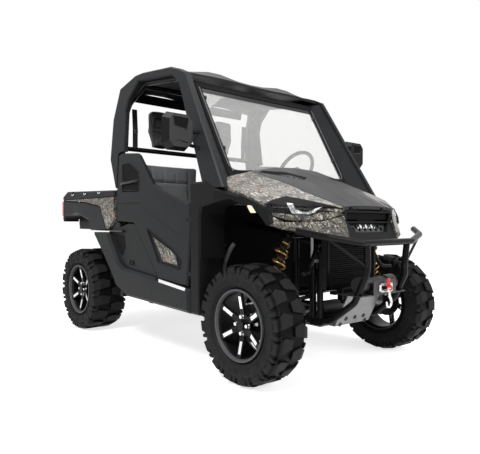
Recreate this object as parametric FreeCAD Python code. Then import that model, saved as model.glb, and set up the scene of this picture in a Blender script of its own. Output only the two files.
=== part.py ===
import FreeCAD
import Part
import math
import os

from FreeCAD import Vector

# A two-seat side by side utility vehicle with a half-door cab, a tilting bed and a winch.
#
# Millimetres. +X is forward, +Y is the driver's side, +Z is up, and the origin is on the ground
# under the middle of the vehicle. Outlines are shares of the driving sizes: along X of WHEELBASE,
# along Y of HALF_WIDTH and along Z of BODY_HEIGHT. Pieces come in pairs that mirror across Y.

# Driving sizes
WHEELBASE = 1950.0
BODY_HEIGHT = 1950.0
HALF_WIDTH = 760.0
TYRE_DIAMETER = 660.0
RIM_DIAMETER = 392.0
FRONT_TRACK = 1300.0
REAR_TRACK = 1330.0
FRONT_TYRE_WIDTH = 225.0
REAR_TYRE_WIDTH = 275.0

# Clearances and common thicknesses
SEAT_GAP = 0.3
SEAM = 4.0
DOOR_GAP = 12.0
BED_GAP = 9.0
HOOD_GAP = 6.0
SWEEP_GAP = 10.0
HINGE_GAP = 3.0
OVERRUN = 20.0
RUN_SHARE = 0.45
OUTWARD_SHARE = 0.95
WHOLE_SHARE = 0.999
HEXAGON_SIDES = 6
PANEL_BEVEL = 9.0
FLARE_BEVEL = 12.0

# Body sides
BELT_HEIGHT = 1050.0
SIDE_LEAN = 72.0
CAB_SIDE_Y = 740.0
CAB_SIDE_THICKNESS = 40.0
DOOR_THICKNESS = 32.0
SIDE_PANEL_Y = 725.0
SIDE_PANEL_THICKNESS = 25.0
ROCKER_THICKNESS = 60.0

# Tubes
CAGE_RADIUS = 22.0
CAGE_BEND = 120.0
CROSS_TUBE_RADIUS = 18.0
FRAME_TUBE_RADIUS = 19.0
FRAME_BEND = 90.0
BUMPER_RADIUS = 19.0
BUMPER_BEND = 70.0
BRACE_RADIUS = 8.0
ARM_RADIUS = 12.0
BAR = 40.0
RAIL_Y = 220.0
RAIL_Z = 305.0

# Wheels
LIP_WIDTH = 12.0
LIP_INSET = 10.0
BARREL_THICKNESS = 10.0
SPOKE_COUNT = 6
SPOKE_WIDTH = 34.0
SPOKE_THICKNESS = 16.0
SPOKE_DISH = 38.0
HUB_RADIUS = 62.0
HUB_THICKNESS = 22.0
CAP_RADIUS = 27.0
CAP_HEIGHT = 20.0
NUT_CIRCLE_RADIUS = 45.0
NUT_COUNT = 4
NUT_RADIUS = 9.0
NUT_HEIGHT = 16.0
BEAD_SHARE = 0.68
CARCASS_SIDES = 24
CARCASS_SHARES = [(0.66, 0.00), (0.97, 0.26), (0.99, 0.60), (0.78, 0.90)]
LUG_COUNT = 16
LUG_DROP = 3.1
LUG_PLAN_SHARES = [(0.05, -0.22), (0.55, -0.34), (1.03, -0.08), (1.03, 0.34), (0.08, 0.16)]
LUG_PROFILE_SHARES = [(0.00, 0.80), (0.00, 1.00), (0.66, 1.00), (1.01, 0.88), (0.97, 0.60)]
DISC_RADIUS = 105.0
DISC_THICKNESS = 6.0
DISC_OFFSET = 42.0
HAT_RADIUS = 44.0
SPINDLE_RADIUS = 20.0
BEARING_GAP = 0.5
STUB_GAP = 6.0

# Steering and front axle
KINGPIN_Y = 580.0
KNUCKLE_RADIUS = 34.0
KNUCKLE_HEIGHT = 150.0
STEER_ARM_REACH = 118.0
STEER_ARM_THICKNESS = 14.0
STEER_ARM_Z = 392.0
BALL_RADIUS = 15.0
BALL_GAP = 6.0
BALL_STEM_RADIUS = 9.0
BALL_STEM = 9.0
TIE_ROD_RADIUS = 8.0
RACK_RADIUS = 13.0
RACK_HOUSING_RADIUS = 24.0
RACK_HOUSING_HALF = 232.0
RACK_HALF = 310.0
RACK_Z = 450.0
ARM_SPREAD = 70.0
LOWER_ARM_Z = 305.0
LOWER_BALL_Z = 248.0
UPPER_ARM_Z = 450.0
UPPER_BALL_Z = 412.0
DIFFERENTIAL_RADIUS = 50.0
DIFFERENTIAL_HALF = 88.0
DIFFERENTIAL_Z = 345.0
PINION_RADIUS = 30.0
SHAFT_RADIUS = 13.0
BOOT_RADIUS = 34.0
BOOT_LENGTH = 55.0
SHOCK_Y = 400.0
SHOCK_FOOT_Y = 515.0
SHOCK_HEAD_X = 1010.0
SHOCK_RADIUS = 17.0
SHOCK_EYE_RADIUS = 14.0
SPRING_RADIUS = 31.0
SPRING_SEAT = 8.0
COIL_WIRE_RADIUS = 5.0
COIL_TURNS = 5
COIL_SIDES = 14
COIL_WIRE_SIDES = 5

# Steering wheel
WHEEL_CENTRE_X_SHARE = 0.192
WHEEL_CENTRE_Y_SHARE = 0.447
WHEEL_CENTRE_Z_SHARE = 0.651
STEERING_WHEEL_RADIUS = 162.0
STEERING_RIM_RADIUS = 14.0
STEERING_HUB_RADIUS = 40.0
STEERING_HUB_DEPTH = 34.0
STEERING_SPOKE_WIDTH = 34.0
STEERING_SPOKE_THICKNESS = 10.0
STEERING_TILT = 33.0
COLUMN_RADIUS = 17.0
COLUMN_LENGTH = 250.0

# Windscreen and roof
GLASS_FOOT_X = 667.0
GLASS_FOOT_Z = 1181.0
GLASS_HEAD_X = 322.0
GLASS_HEAD_Z = 1783.0
GLASS_HALF_WIDTH = 548.0
GLASS_THICKNESS = 6.0
SEAL_WIDTH = 22.0
SEAL_OVERLAP = 18.0
SEAL_THICKNESS = 18.0
ROOF_HALF_WIDTH = 626.0
ROOF_THICKNESS = 16.0
NOSE_SKIN = 20.0
NOSE_DEPTH = 120.0
SCOOP_DEPTH = 11.0
GRILLE_HALF_WIDTH = 233.0
MESH_THICKNESS = 5.0
MESH_HOLE_RADIUS = 14.0
MESH_BAR = 7.0
LAMP_DEPTH = 55.0
LENS_THICKNESS = 5.0
LAMP_WALL = 8.0
RADIATOR_THICKNESS = 40.0
RADIATOR_HALF_WIDTH = 235.0
RADIATOR_LOW_Z = 500.0
RADIATOR_HIGH_Z = 850.0
SKID_THICKNESS = 6.0
SKID_NOSE_HALF_WIDTH = 165.0
WINCH_PLATE_Z = 478.0
WINCH_Z = 534.0
WINCH_X = 1325.0
WINCH_DRUM_RADIUS = 38.0
WINCH_MOTOR_RADIUS = 46.0
WINCH_DRUM_HALF = 82.0
WINCH_HALF = 165.0
FAIRLEAD_X = 1387.0
FAIRLEAD_HALF = 110.0
FAIRLEAD_HEIGHT = 82.0
ROLLER_RADIUS = 9.0
ROPE_RADIUS = 4.0
HOOK_RADIUS = 17.0
MIRROR_X = 511.0
MIRROR_DEPTH = 60.0
MIRROR_INNER_Y = 745.0
MIRROR_OUTER_Y = 939.0
MIRROR_LOW_Z = 1308.0
MIRROR_HIGH_Z = 1531.0
MIRROR_BEVEL = 34.0
MIRROR_TAPER = 16.0
MIRROR_ARM_RADIUS = 12.0
MIRROR_ARM_Z = 1425.0

# Bed and tailgate
BED_HALF_WIDTH = 600.0
BED_FLOOR_Z = 815.0
BED_FLOOR_THICKNESS = 10.0
BED_WALL = 28.0
NOTCH_HALF = 16.0
BED_FLANGE = 10.0
BED_TOP_Z = 1100.0
BED_FRONT_X = -468.0
BED_REAR_X = -1395.0
BED_PANEL_THICKNESS = 26.0
BED_PIVOT_X = -1250.0
BED_PIVOT_Z = 720.0
BED_HINGE_Y = 220.0
BED_HINGE_RADIUS = 14.0
BED_HINGE_LENGTH = 90.0
TAILGATE_THICKNESS = 26.0
TAILGATE_PIVOT_X = -1408.0
TAILGATE_PIVOT_Z = 836.0
TAILGATE_HINGE_Y = 380.0
TAILGATE_HINGE_RADIUS = 8.0
TAILGATE_HINGE_LENGTH = 90.0
TAILGATE_FOOT = 14.0

# Doors and hood
DOOR_PIVOT_X = 522.0
DOOR_PIVOT_Y = 736.0
FIELD_DEPTH = 6.0
INSERT_DEPTH = 12.0
HANDLE_DEPTH = 18.0
DOOR_HINGE_REACH = 60.0
DOOR_HINGE_RADIUS = 6.0
DOOR_HINGE_LENGTH = 60.0
DOOR_HINGE_LOW_Z = 540.0
DOOR_HINGE_HIGH_Z = 870.0
HOOD_PIVOT_X = 1283.0
HOOD_PIVOT_Z = 968.0
HOOD_HINGE_REACH = 40.0
HOOD_HINGE_LIFT = 28.0
HOOD_HINGE_Y = 150.0
HOOD_HINGE_RADIUS = 6.0
HOOD_HINGE_LENGTH = 60.0

# Cab fittings
TUB_HALF_WIDTH = 636.0
TUB_THICKNESS = 12.0
DASH_HALF_WIDTH = 560.0
SEAT_CENTRE_Y = 320.0
SEAT_HALF_WIDTH = 292.0
HEADREST_FOOT_HALF = 45.0
HEADREST_HEAD_HALF = 105.0
HEADREST_THICKNESS = 70.0
HEADREST_HEIGHT = 280.0
SEAT_TUBE_Z = 1445.0
SEAT_TUBE_X = -501.0

# Driveline behind the cab
ENGINE_HALF_WIDTH = 212.0
ENGINE_REAR_X = -840.0
ENGINE_FRONT_X = -540.0
ENGINE_TOP_Z = 700.0
TRANSAXLE_RADIUS = 66.0
TRANSAXLE_HALF = 110.0
MUFFLER_RADIUS = 70.0
MUFFLER_HALF = 185.0
TAILPIPE_RADIUS = 20.0
RECEIVER_INSIDE = 50.8
RECEIVER_WALL = 6.0
RECEIVER_PIN_RADIUS = 8.0
REAR_END_X = -1442.0
FRONT_END_X = 1442.0
BED_RAIL_Z = 733.0
BED_RAIL_REAR_X = -1215.0
BED_RAIL_FRONT_X = -480.0
LOWER_RAIL_REAR_X = -1110.0
LOWER_RAIL_FRONT_X = 1120.0
NOSE_TUBE_X = 1100.0
NOSE_TUBE_CORNER_Z = 760.0
NOSE_TUBE_REAR_X = 437.0
NOSE_TUBE_REAR_Z = 880.0
OUTRIGGER_X_SHARES = [-0.213, 0.0, 0.205]
MID_POST_X = -500.0
FLOOR_Z = 365.0
SHELF_Z = 632.0


def side_points(shares):
    """Points of a side view, X and Z, from shares of the wheelbase and the body height."""
    return [(x * WHEELBASE, z * BODY_HEIGHT) for x, z in shares]


def plan_points(shares):
    """Points of a plan view, X and Y, from shares of the wheelbase and the half width."""
    return [(x * WHEELBASE, y * HALF_WIDTH) for x, y in shares]


def route_points(shares):
    """Points in space from shares of the wheelbase, the half width and the body height."""
    return [Vector(x * WHEELBASE, y * HALF_WIDTH, z * BODY_HEIGHT) for x, y, z in shares]


def prism(points, along):
    """A closed polygon of space points, extruded along a vector."""
    wire = Part.makePolygon(list(points) + [points[0]])
    return Part.Face(wire).extrude(along)


def side_slab(outline, y_from, y_to):
    """A side-view outline extruded from one Y to another."""
    return prism([Vector(x, y_from, z) for x, z in outline], Vector(0, y_to - y_from, 0))


def plan_slab(outline, z_from, z_to):
    """A plan-view outline extruded from one Z to another."""
    return prism([Vector(x, y, z_from) for x, y in outline], Vector(0, 0, z_to - z_from))


def front_slab(outline, x_from, x_to):
    """A front-view outline, Y and Z, extruded from one X to another."""
    return prism([Vector(x_from, y, z) for y, z in outline], Vector(x_to - x_from, 0, 0))


def block(x_from, x_to, y_from, y_to, z_from, z_to):
    """A box between two corners."""
    return Part.makeBox(x_to - x_from, y_to - y_from, z_to - z_from, Vector(x_from, y_from, z_from))


def rod(start, end, radius):
    """A round bar from one point to another."""
    along = end - start
    return Part.makeCylinder(radius, along.Length, start, along)


def fused(shapes):
    """One shape from several that touch."""
    result = shapes[0]
    for shape in shapes[1:]:
        result = result.fuse(shape)
    return result.removeSplitter()


def group(shapes):
    """Solids that stay apart, as one compound."""
    solids = []
    for shape in shapes:
        solids.extend(shape.Solids)
    return Part.makeCompound(solids)


def mirrored(shape):
    """The same shape on the other side of the vehicle."""
    return shape.mirror(Vector(0, 0, 0), Vector(0, 1, 0))


def both_sides(shape):
    """A shape and its twin on the other side."""
    return group([shape, mirrored(shape)])


def grown_outline(outline, gap):
    """A side-view outline moved outward by a gap, with its corners kept sharp."""
    wire = Part.makePolygon([Vector(x, 0, z) for x, z in outline + outline[:1]])
    return Part.Face(wire.makeOffset2D(gap, 2))


def keep_out(outline, gap, y_from, y_to):
    """The room that a panel and its gap take, to be cut from what lies round it."""
    face = grown_outline(outline, gap)
    face.translate(Vector(0, y_from, 0))
    return face.extrude(Vector(0, y_to - y_from, 0))


def strip_outline(line, thickness):
    """A bent strip's outline: a line of points and the same line moved to its left."""
    offset = []
    for i, point in enumerate(line):
        before = line[max(i - 1, 0)]
        after = line[min(i + 1, len(line) - 1)]
        into = unit(point, before) if i else unit(after, point)
        out = unit(after, point) if i < len(line) - 1 else into
        normal = (-into[1] - out[1], into[0] + out[0])
        scale = thickness * 2 / (normal[0] ** 2 + normal[1] ** 2)
        offset.append((point[0] + normal[0] * scale, point[1] + normal[1] * scale))
    return list(line) + offset[::-1]


def unit(end, start):
    """The direction from one plane point to another."""
    dx = end[0] - start[0]
    dz = end[1] - start[1]
    length = math.hypot(dx, dz)
    return (dx / length, dz / length)


def bent_path(points, bend):
    """Straight runs joined by arcs that touch them, through a list of points."""
    edges = []
    start = points[0]
    for before, corner, after in zip(points, points[1:], points[2:]):
        into = (corner - before).normalize()
        out = (after - corner).normalize()
        half_turn = into.getAngle(out) / 2
        shorter = min((corner - before).Length, (after - corner).Length)
        radius = min(bend, RUN_SHARE * shorter / math.tan(half_turn))
        back = radius * math.tan(half_turn)
        middle = (out - into).normalize() * (radius / math.cos(half_turn) - radius)
        arc_end = corner + out * back
        edges.append(Part.LineSegment(start, corner - into * back).toShape())
        edges.append(Part.Arc(corner - into * back, corner + middle, arc_end).toShape())
        start = arc_end
    edges.append(Part.LineSegment(start, points[-1]).toShape())
    return Part.Wire(edges)


def bent_tube(points, radius, bend):
    """A round tube along straight runs and arcs."""
    profile = Part.Wire(Part.makeCircle(radius, points[0], points[1] - points[0]))
    return bent_path(points, bend).makePipeShell([profile], True, False)


def polygon_face(points):
    """A flat face inside a closed polygon."""
    return Part.Face(Part.makePolygon(list(points) + [points[0]]))


def loft(sections):
    """A solid with flat strips through closed polygons of space points."""
    wires = [Part.makePolygon(list(points) + [points[0]]) for points in sections]
    return Part.makeLoft(wires, True, True)


def turned(profile, centre, axis):
    """A solid of revolution from a closed profile in space."""
    face = Part.Face(Part.makePolygon(list(profile) + [profile[0]]))
    return face.revolve(centre, axis, 360)


def side_skin(outer, thickness):
    """A wall along the whole vehicle: upright up to the belt, leaning in above it."""
    section = [
        (outer, 0), (outer, BELT_HEIGHT), (outer - SIDE_LEAN, BODY_HEIGHT),
        (outer - SIDE_LEAN - thickness, BODY_HEIGHT), (outer - thickness, BELT_HEIGHT),
        (outer - thickness, 0),
    ]
    return front_slab(section, -WHEELBASE, WHEELBASE)


def bevelled(panel, size):
    """A body side panel with the rim of its outer face bevelled."""
    def faces_out(face):
        return face.normalAt(0, 0).y > OUTWARD_SHARE

    rim = []
    for edge in panel.Edges:
        beside = panel.ancestorsOfType(edge, Part.Face)
        if len([face for face in beside if faces_out(face)]) == 1:
            rim.append(edge)
    return panel.makeChamfer(size, rim)


def side_y(z, outer):
    """How far out the leaning body side is at a height."""
    return outer - SIDE_LEAN * max(z - BELT_HEIGHT, 0) / (BODY_HEIGHT - BELT_HEIGHT)


def side_panel(shares, outer, thickness):
    """A panel of the body side from its side view."""
    return side_slab(side_points(shares), 0, HALF_WIDTH).common(side_skin(outer, thickness))


def side_recess(shares, depth):
    """The room of a recess in the outer face of a cab side or door, from its side view."""
    return side_panel(shares, CAB_SIDE_Y + OVERRUN, OVERRUN + depth)


def hinge_leaf(start, end, radius, toward):
    """A round barrel with a flat web from its axis to the piece that it carries."""
    along = end - start
    half = along.cross(toward).normalize() * radius / 2
    web = prism([start + half, start - half, start - half + toward, start + half + toward], along)
    return rod(start, end, radius).fuse(web)


def hinge(start, end, radius, moving, fixed):
    """A three-part hinge: its middle barrel for the moving piece, its outer two for the fixed."""
    third = (end - start) / 3
    slip = (end - start).normalize() * SEAT_GAP
    middle = hinge_leaf(start + third + slip, end - third - slip, radius, moving)
    first = hinge_leaf(start, start + third, radius, fixed)
    last = hinge_leaf(end - third, end, radius, fixed)
    return middle, [first, last]


PIECES = {}


def keep(name, shape):
    """Stores a finished piece under its plain name."""
    PIECES[name] = shape


# Wheels: tyre, cast rim and brake disc

def wheel_centre(front, side):
    """The middle of a wheel, where side is 1 on the driver's side and -1 on the other."""
    track = FRONT_TRACK if front else REAR_TRACK
    end = 1 if front else -1
    return Vector(end * WHEELBASE / 2, side * track / 2, TYRE_DIAMETER / 2)


def ring_solid(rings):
    """A closed ring of flat faces through matching loops of points, the last one to the first."""
    faces = []
    for loop, following in zip(rings, rings[1:] + rings[:1]):
        for i, point in enumerate(loop):
            after = (i + 1) % len(loop)
            faces.append(polygon_face([point, loop[after], following[after], following[i]]))
    solid = Part.Solid(Part.Shell(faces))
    return solid if solid.Volume > 0 else solid.reversed()


def carcass_shape(centre, half):
    """A tyre without its tread, in flat facets, closed on the rim's bead seats."""
    step = 2 * math.pi / CARCASS_SIDES
    bead = (RIM_DIAMETER / 2 - LIP_WIDTH + SEAT_GAP) / math.cos(step / 2)
    wall = TYRE_DIAMETER / 2 - bead
    rows = [(-across * half, bead + height * wall) for across, height in CARCASS_SHARES]
    rows = rows + [(-y, r) for y, r in reversed(rows)]
    rings = [[centre + Vector(r * math.sin(step * i), y, r * math.cos(step * i))
              for i in range(CARCASS_SIDES)] for y, r in rows]
    return ring_solid(rings)


def lug_shape(centre, half):
    """One tread lug: a hooked plan with a flat crown, wrapped over the shoulder."""
    outer = TYRE_DIAMETER / 2
    bead = RIM_DIAMETER / 2 - LIP_WIDTH
    crown = outer - LUG_DROP
    pitch = math.pi * TYRE_DIAMETER / LUG_COUNT
    plan = prism([centre + Vector(along * pitch, across * half, 0)
                  for across, along in LUG_PLAN_SHARES], Vector(0, 0, outer))
    profile = prism([centre + Vector(-pitch, across * half, bead + height * (crown - bead))
                     for across, height in LUG_PROFILE_SHARES], Vector(pitch * 2, 0, 0))
    return plan.common(profile)


def tyre_shape(centre, width):
    """A tyre: a carcass with staggered hooked lugs from both shoulders fused to it."""
    half = width / 2
    axis = Vector(0, 1, 0)
    first = lug_shape(centre, half)
    second = first.mirror(centre, axis)
    second.rotate(centre, axis, 180 / LUG_COUNT)
    lugs = []
    for i in range(LUG_COUNT):
        for lug in (first, second):
            placed = lug.copy()
            placed.rotate(centre, axis, 360 / LUG_COUNT * i)
            lugs.append(placed)
    return carcass_shape(centre, half).fuse(lugs).removeSplitter()


def hub_places(width):
    """Offsets of a rim's lip face, hub face and hub back from the wheel's middle."""
    face = width / 2 - LIP_INSET
    hub_face = face - SPOKE_DISH
    return face, hub_face, hub_face - HUB_THICKNESS


def rim_shape(centre, width, side):
    """A cast rim: lip, barrel, six sloping spokes, hub, cap and nuts, with its face outward."""
    lip = RIM_DIAMETER / 2
    seat = lip - LIP_WIDTH
    bead_y = width / 2 * BEAD_SHARE
    face, hub_face, hub_back = hub_places(width)

    def at(y, r):
        return Vector(centre.x, centre.y + side * y, centre.z + r)

    ring = [
        at(face, lip), at(face - LIP_WIDTH, lip), at(bead_y, seat), at(-bead_y, seat),
        at(LIP_WIDTH - face, lip), at(-face, lip),
        at(-face, lip - BARREL_THICKNESS), at(-bead_y, seat - BARREL_THICKNESS),
        at(bead_y, seat - BARREL_THICKNESS), at(face, lip - BARREL_THICKNESS),
    ]
    pieces = [turned(ring, centre, Vector(0, 1, 0))]
    pieces.append(rod(at(hub_back, 0), at(hub_face, 0), HUB_RADIUS))
    pieces.append(rod(at(hub_face, 0), at(hub_face + CAP_HEIGHT, 0), CAP_RADIUS))
    spoke_foot = HUB_RADIUS - SPOKE_THICKNESS
    spoke_head = seat - BARREL_THICKNESS / 2
    for i in range(SPOKE_COUNT):
        profile = [
            at(hub_face - SPOKE_THICKNESS, spoke_foot), at(hub_face, spoke_foot),
            at(face - LIP_INSET, spoke_head), at(face - LIP_INSET - SPOKE_THICKNESS, spoke_head),
        ]
        spoke = prism(profile, Vector(SPOKE_WIDTH, 0, 0))
        spoke.translate(Vector(-SPOKE_WIDTH / 2, 0, 0))
        spoke.rotate(centre, Vector(0, 1, 0), 360 / SPOKE_COUNT * i)
        pieces.append(spoke)
    for i in range(NUT_COUNT):
        start = at(hub_face, NUT_CIRCLE_RADIUS)
        nut = rod(start, at(hub_face + NUT_HEIGHT, NUT_CIRCLE_RADIUS), NUT_RADIUS)
        nut.rotate(centre, Vector(0, 1, 0), 360 / NUT_COUNT * i)
        pieces.append(nut)
    return fused(pieces)


def disc_place(width):
    """Offset of a brake disc's outer face from the wheel's middle."""
    return hub_places(width)[2] - DISC_OFFSET


def brake_disc(centre, width, side):
    """A brake disc on its hat, bored for the spindle, inboard of the rim's hub."""
    hub_back = hub_places(width)[2]
    disc_face = disc_place(width)

    def at(y):
        return Vector(centre.x, centre.y + side * y, centre.z)

    disc = rod(at(disc_face - DISC_THICKNESS), at(disc_face), DISC_RADIUS)
    hat = rod(at(disc_face - DISC_THICKNESS), at(hub_back - SEAT_GAP), HAT_RADIUS)
    bore = rod(at(disc_face - OVERRUN), at(hub_back - SEAT_GAP - DISC_THICKNESS),
               SPINDLE_RADIUS + BEARING_GAP)
    return disc.fuse(hat).cut(bore).removeSplitter()


def make_wheels():
    """Four wheels, wider at the rear."""
    for front, end, width in ((True, "front", FRONT_TYRE_WIDTH), (False, "rear", REAR_TYRE_WIDTH)):
        for side, hand in ((-1, "right"), (1, "left")):
            centre = wheel_centre(front, side)
            keep(f"tyre_{end}_{hand}", tyre_shape(centre, width))
            rim = rim_shape(centre, width, side)
            keep(f"rim_{end}_{hand}", group([rim, brake_disc(centre, width, side)]))


# Knuckles, rear hub carriers, suspension and driveline

def spindle(centre, width, side, from_y):
    """The stub that a wheel turns on, from the carrier out into the disc's hat."""
    tip = hub_places(width)[2] - SEAT_GAP - DISC_THICKNESS - BEARING_GAP
    start = Vector(centre.x, from_y, centre.z)
    return rod(start, Vector(centre.x, centre.y + side * tip, centre.z), SPINDLE_RADIUS)


def knuckle_shape():
    """A left front knuckle: upright, spindle and a steering arm that reaches back."""
    centre = wheel_centre(True, 1)
    disc_back = centre.y + disc_place(FRONT_TYRE_WIDTH) - DISC_THICKNESS
    half = KNUCKLE_HEIGHT / 2
    upright_z = (LOWER_BALL_Z + UPPER_BALL_Z) / 2
    foot = Vector(centre.x, KINGPIN_Y, upright_z - half + BALL_GAP * 2)
    head = Vector(centre.x, KINGPIN_Y, upright_z + half - BALL_GAP * 2)
    stem = Vector(0, 0, BALL_STEM)
    upright = rod(foot + stem, head - stem, BALL_RADIUS + BALL_GAP)
    upright = upright.fuse(rod(foot, head, BALL_STEM_RADIUS))
    carrier = rod(Vector(centre.x, KINGPIN_Y, centre.z),
                  Vector(centre.x, disc_back - SEAT_GAP, centre.z), KNUCKLE_RADIUS)
    stub = spindle(centre, FRONT_TYRE_WIDTH, 1, KINGPIN_Y)
    arm_x = centre.x - STEER_ARM_REACH
    arm_y = KINGPIN_Y - BALL_GAP
    arm = block(arm_x, centre.x, arm_y - STEER_ARM_THICKNESS, arm_y + STEER_ARM_THICKNESS,
                STEER_ARM_Z - STEER_ARM_THICKNESS, STEER_ARM_Z)
    eye = rod(Vector(arm_x, arm_y, STEER_ARM_Z - STEER_ARM_THICKNESS),
              Vector(arm_x, arm_y, STEER_ARM_Z), BALL_RADIUS)
    return fused([upright, carrier, stub, arm, eye])


def rear_upright_shape():
    """A left rear hub carrier with the stub that its wheel turns on."""
    centre = wheel_centre(False, 1)
    disc_back = centre.y + disc_place(REAR_TYRE_WIDTH) - DISC_THICKNESS
    half = KNUCKLE_HEIGHT / 2
    upright_z = (LOWER_BALL_Z + UPPER_BALL_Z) / 2
    upright = block(centre.x - KNUCKLE_RADIUS, centre.x + KNUCKLE_RADIUS,
                    KINGPIN_Y - BALL_RADIUS, KINGPIN_Y + BALL_RADIUS,
                    upright_z - half, upright_z + half)
    carrier = rod(Vector(centre.x, KINGPIN_Y, centre.z),
                  Vector(centre.x, disc_back - SEAT_GAP, centre.z), KNUCKLE_RADIUS)
    return fused([upright, carrier, spindle(centre, REAR_TYRE_WIDTH, 1, KINGPIN_Y)])


def ball_place(axle_x, front, sign):
    """The middle of a left wishbone's outer ball, where sign is 1 for the upper one."""
    upright_z = (LOWER_BALL_Z + UPPER_BALL_Z) / 2
    if front:
        reach = KNUCKLE_HEIGHT / 2 - BALL_GAP * 2 + SEAT_GAP + BALL_RADIUS
        return Vector(axle_x, KINGPIN_Y, upright_z + sign * reach)
    inward = BALL_RADIUS * 2 + SEAT_GAP
    return Vector(axle_x, KINGPIN_Y - inward, upright_z + sign * (KNUCKLE_HEIGHT / 2 - BALL_RADIUS))


def arm_pair(axle_x, front):
    """A left lower and upper wishbone: two bars each from the frame to a ball at the wheel."""
    rail_face = RAIL_Y + BAR / 2 + SEAT_GAP
    wishbones = []
    for inner_z, sign in ((LOWER_ARM_Z, -1), (UPPER_ARM_Z, 1)):
        ball = ball_place(axle_x, front, sign)
        bars = [Part.makeSphere(BALL_RADIUS, ball)]
        for spread in (-ARM_SPREAD, ARM_SPREAD):
            foot = Vector(axle_x + spread, rail_face, inner_z)
            bars.append(rod(foot, ball, ARM_RADIUS))
        wishbone = fused(bars)
        inside = block(axle_x - WHEELBASE, axle_x + WHEELBASE, 0, rail_face, 0, BODY_HEIGHT)
        wishbones.append(wishbone.cut(inside))
    return wishbones


def make_suspension():
    """Wishbones, knuckles, rear hub carriers, shock absorbers, springs and drive shafts."""
    front_x = WHEELBASE / 2
    wishbones = arm_pair(front_x, True) + arm_pair(-front_x, False)
    keep("suspension_arms", group([both_sides(arm) for arm in wishbones]))
    knuckle = knuckle_shape()
    keep("knuckle_left", knuckle)
    keep("knuckle_right", mirrored(knuckle))
    keep("rear_uprights", both_sides(rear_upright_shape()))


# Frame

def nose_tube_z(x):
    """Height of the sloping part of the nose tubes at a place along the vehicle."""
    share = (NOSE_TUBE_X - x) / (NOSE_TUBE_X - NOSE_TUBE_REAR_X)
    return NOSE_TUBE_CORNER_Z + share * (NOSE_TUBE_REAR_Z - NOSE_TUBE_CORNER_Z)


def bar_along(x_from, x_to, y, z):
    """A square bar along the vehicle."""
    half = BAR / 2
    return block(x_from, x_to, y - half, y + half, z - half, z + half)


def bar_across(x, y_from, y_to, z):
    """A square bar across the vehicle."""
    half = BAR / 2
    return block(x - half, x + half, y_from, y_to, z - half, z + half)


def make_frame():
    """Lower rails, nose tubes, bed rails with hinges, posts, cross members and outriggers."""
    half = BAR / 2
    rail_top = RAIL_Z + half
    inner = RAIL_Y - half
    nose_route = [
        Vector(NOSE_TUBE_X, RAIL_Y, rail_top),
        Vector(NOSE_TUBE_X, RAIL_Y, NOSE_TUBE_CORNER_Z),
        Vector(NOSE_TUBE_REAR_X, RAIL_Y, NOSE_TUBE_REAR_Z),
    ]
    nose = bent_tube(nose_route, FRAME_TUBE_RADIUS, FRAME_BEND)
    nose_room = bent_tube(nose_route, FRAME_TUBE_RADIUS + SEAT_GAP, FRAME_BEND)
    bed_rail = bar_along(BED_RAIL_REAR_X, BED_RAIL_FRONT_X, RAIL_Y, BED_RAIL_Z)
    keep("frame_rails", group([
        both_sides(bar_along(LOWER_RAIL_REAR_X, LOWER_RAIL_FRONT_X, RAIL_Y, RAIL_Z)),
        both_sides(fused([bed_rail] + bed_hinge()[1])),
        both_sides(nose),
    ]))

    axle_x = WHEELBASE / 2
    posts = []
    for x in (axle_x - ARM_SPREAD, axle_x + ARM_SPREAD):
        post = rod(Vector(x, RAIL_Y, rail_top), Vector(x, RAIL_Y, nose_tube_z(x)), half)
        posts.append(min(post.cut(nose_room).Solids, key=lambda solid: solid.BoundBox.ZMin))
    for x in (-axle_x - ARM_SPREAD, -axle_x + ARM_SPREAD, MID_POST_X):
        posts.append(block(x - half, x + half, inner, inner + BAR, rail_top, BED_RAIL_Z - half))

    span = inner - SEAT_GAP
    members = [both_sides(post) for post in posts] + [
        bar_across(LOWER_RAIL_REAR_X + half, -span, span, RAIL_Z),
        bar_across(MID_POST_X, -span, span, RAIL_Z),
        bar_across(OUTRIGGER_X_SHARES[2] * WHEELBASE, -span, span, RAIL_Z),
        bar_across(NOSE_TUBE_X - BAR, -span, span, RAIL_Z),
        bar_across(MID_POST_X, -span, span, BED_RAIL_Z),
        bar_across(BED_RAIL_REAR_X + half + SEAM + SEAT_GAP, -span, span, BED_RAIL_Z),
    ]
    tube_half = SHOCK_Y - SHOCK_EYE_RADIUS - SEAT_GAP
    for x, z in (front_shock_head(), rear_shock_head()):
        members.append(rod(Vector(x, -tube_half, z), Vector(x, tube_half, z), CROSS_TUBE_RADIUS))
    for share in OUTRIGGER_X_SHARES:
        end = HALF_WIDTH - ROCKER_THICKNESS - SEAT_GAP
        x = share * WHEELBASE
        members.append(both_sides(bar_across(x, inner, end, FLOOR_Z - half)))
    keep("frame_cross_members", group(members))


def front_shock_head():
    """Place along and height of the cross tube that lies on the nose tubes."""
    x = SHOCK_HEAD_X
    return x, nose_tube_z(x) + FRAME_TUBE_RADIUS + CROSS_TUBE_RADIUS + SEAT_GAP * 2


def rear_shock_head():
    """Place along and height of the cross tube under the bed rails."""
    return -WHEELBASE / 2, BED_RAIL_Z - BAR / 2 - CROSS_TUBE_RADIUS - SEAT_GAP


# Shock absorbers and springs

def shock_line(front):
    """The middles of a left shock's upper and lower eyes."""
    x, z = front_shock_head() if front else rear_shock_head()
    axle_x = WHEELBASE / 2 if front else -WHEELBASE / 2
    ball = ball_place(axle_x, front, 1)
    share = (ball.y - SHOCK_FOOT_Y) / (ball.y - RAIL_Y - BAR / 2)
    bar_z = ball.z + share * (UPPER_ARM_Z - ball.z)
    apart = ARM_RADIUS + SHOCK_EYE_RADIUS + SEAT_GAP * 2
    foot_z = bar_z + math.sqrt(apart ** 2 - (ARM_SPREAD * share) ** 2)
    return Vector(x, SHOCK_Y, z), Vector(axle_x, SHOCK_FOOT_Y, foot_z)


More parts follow.
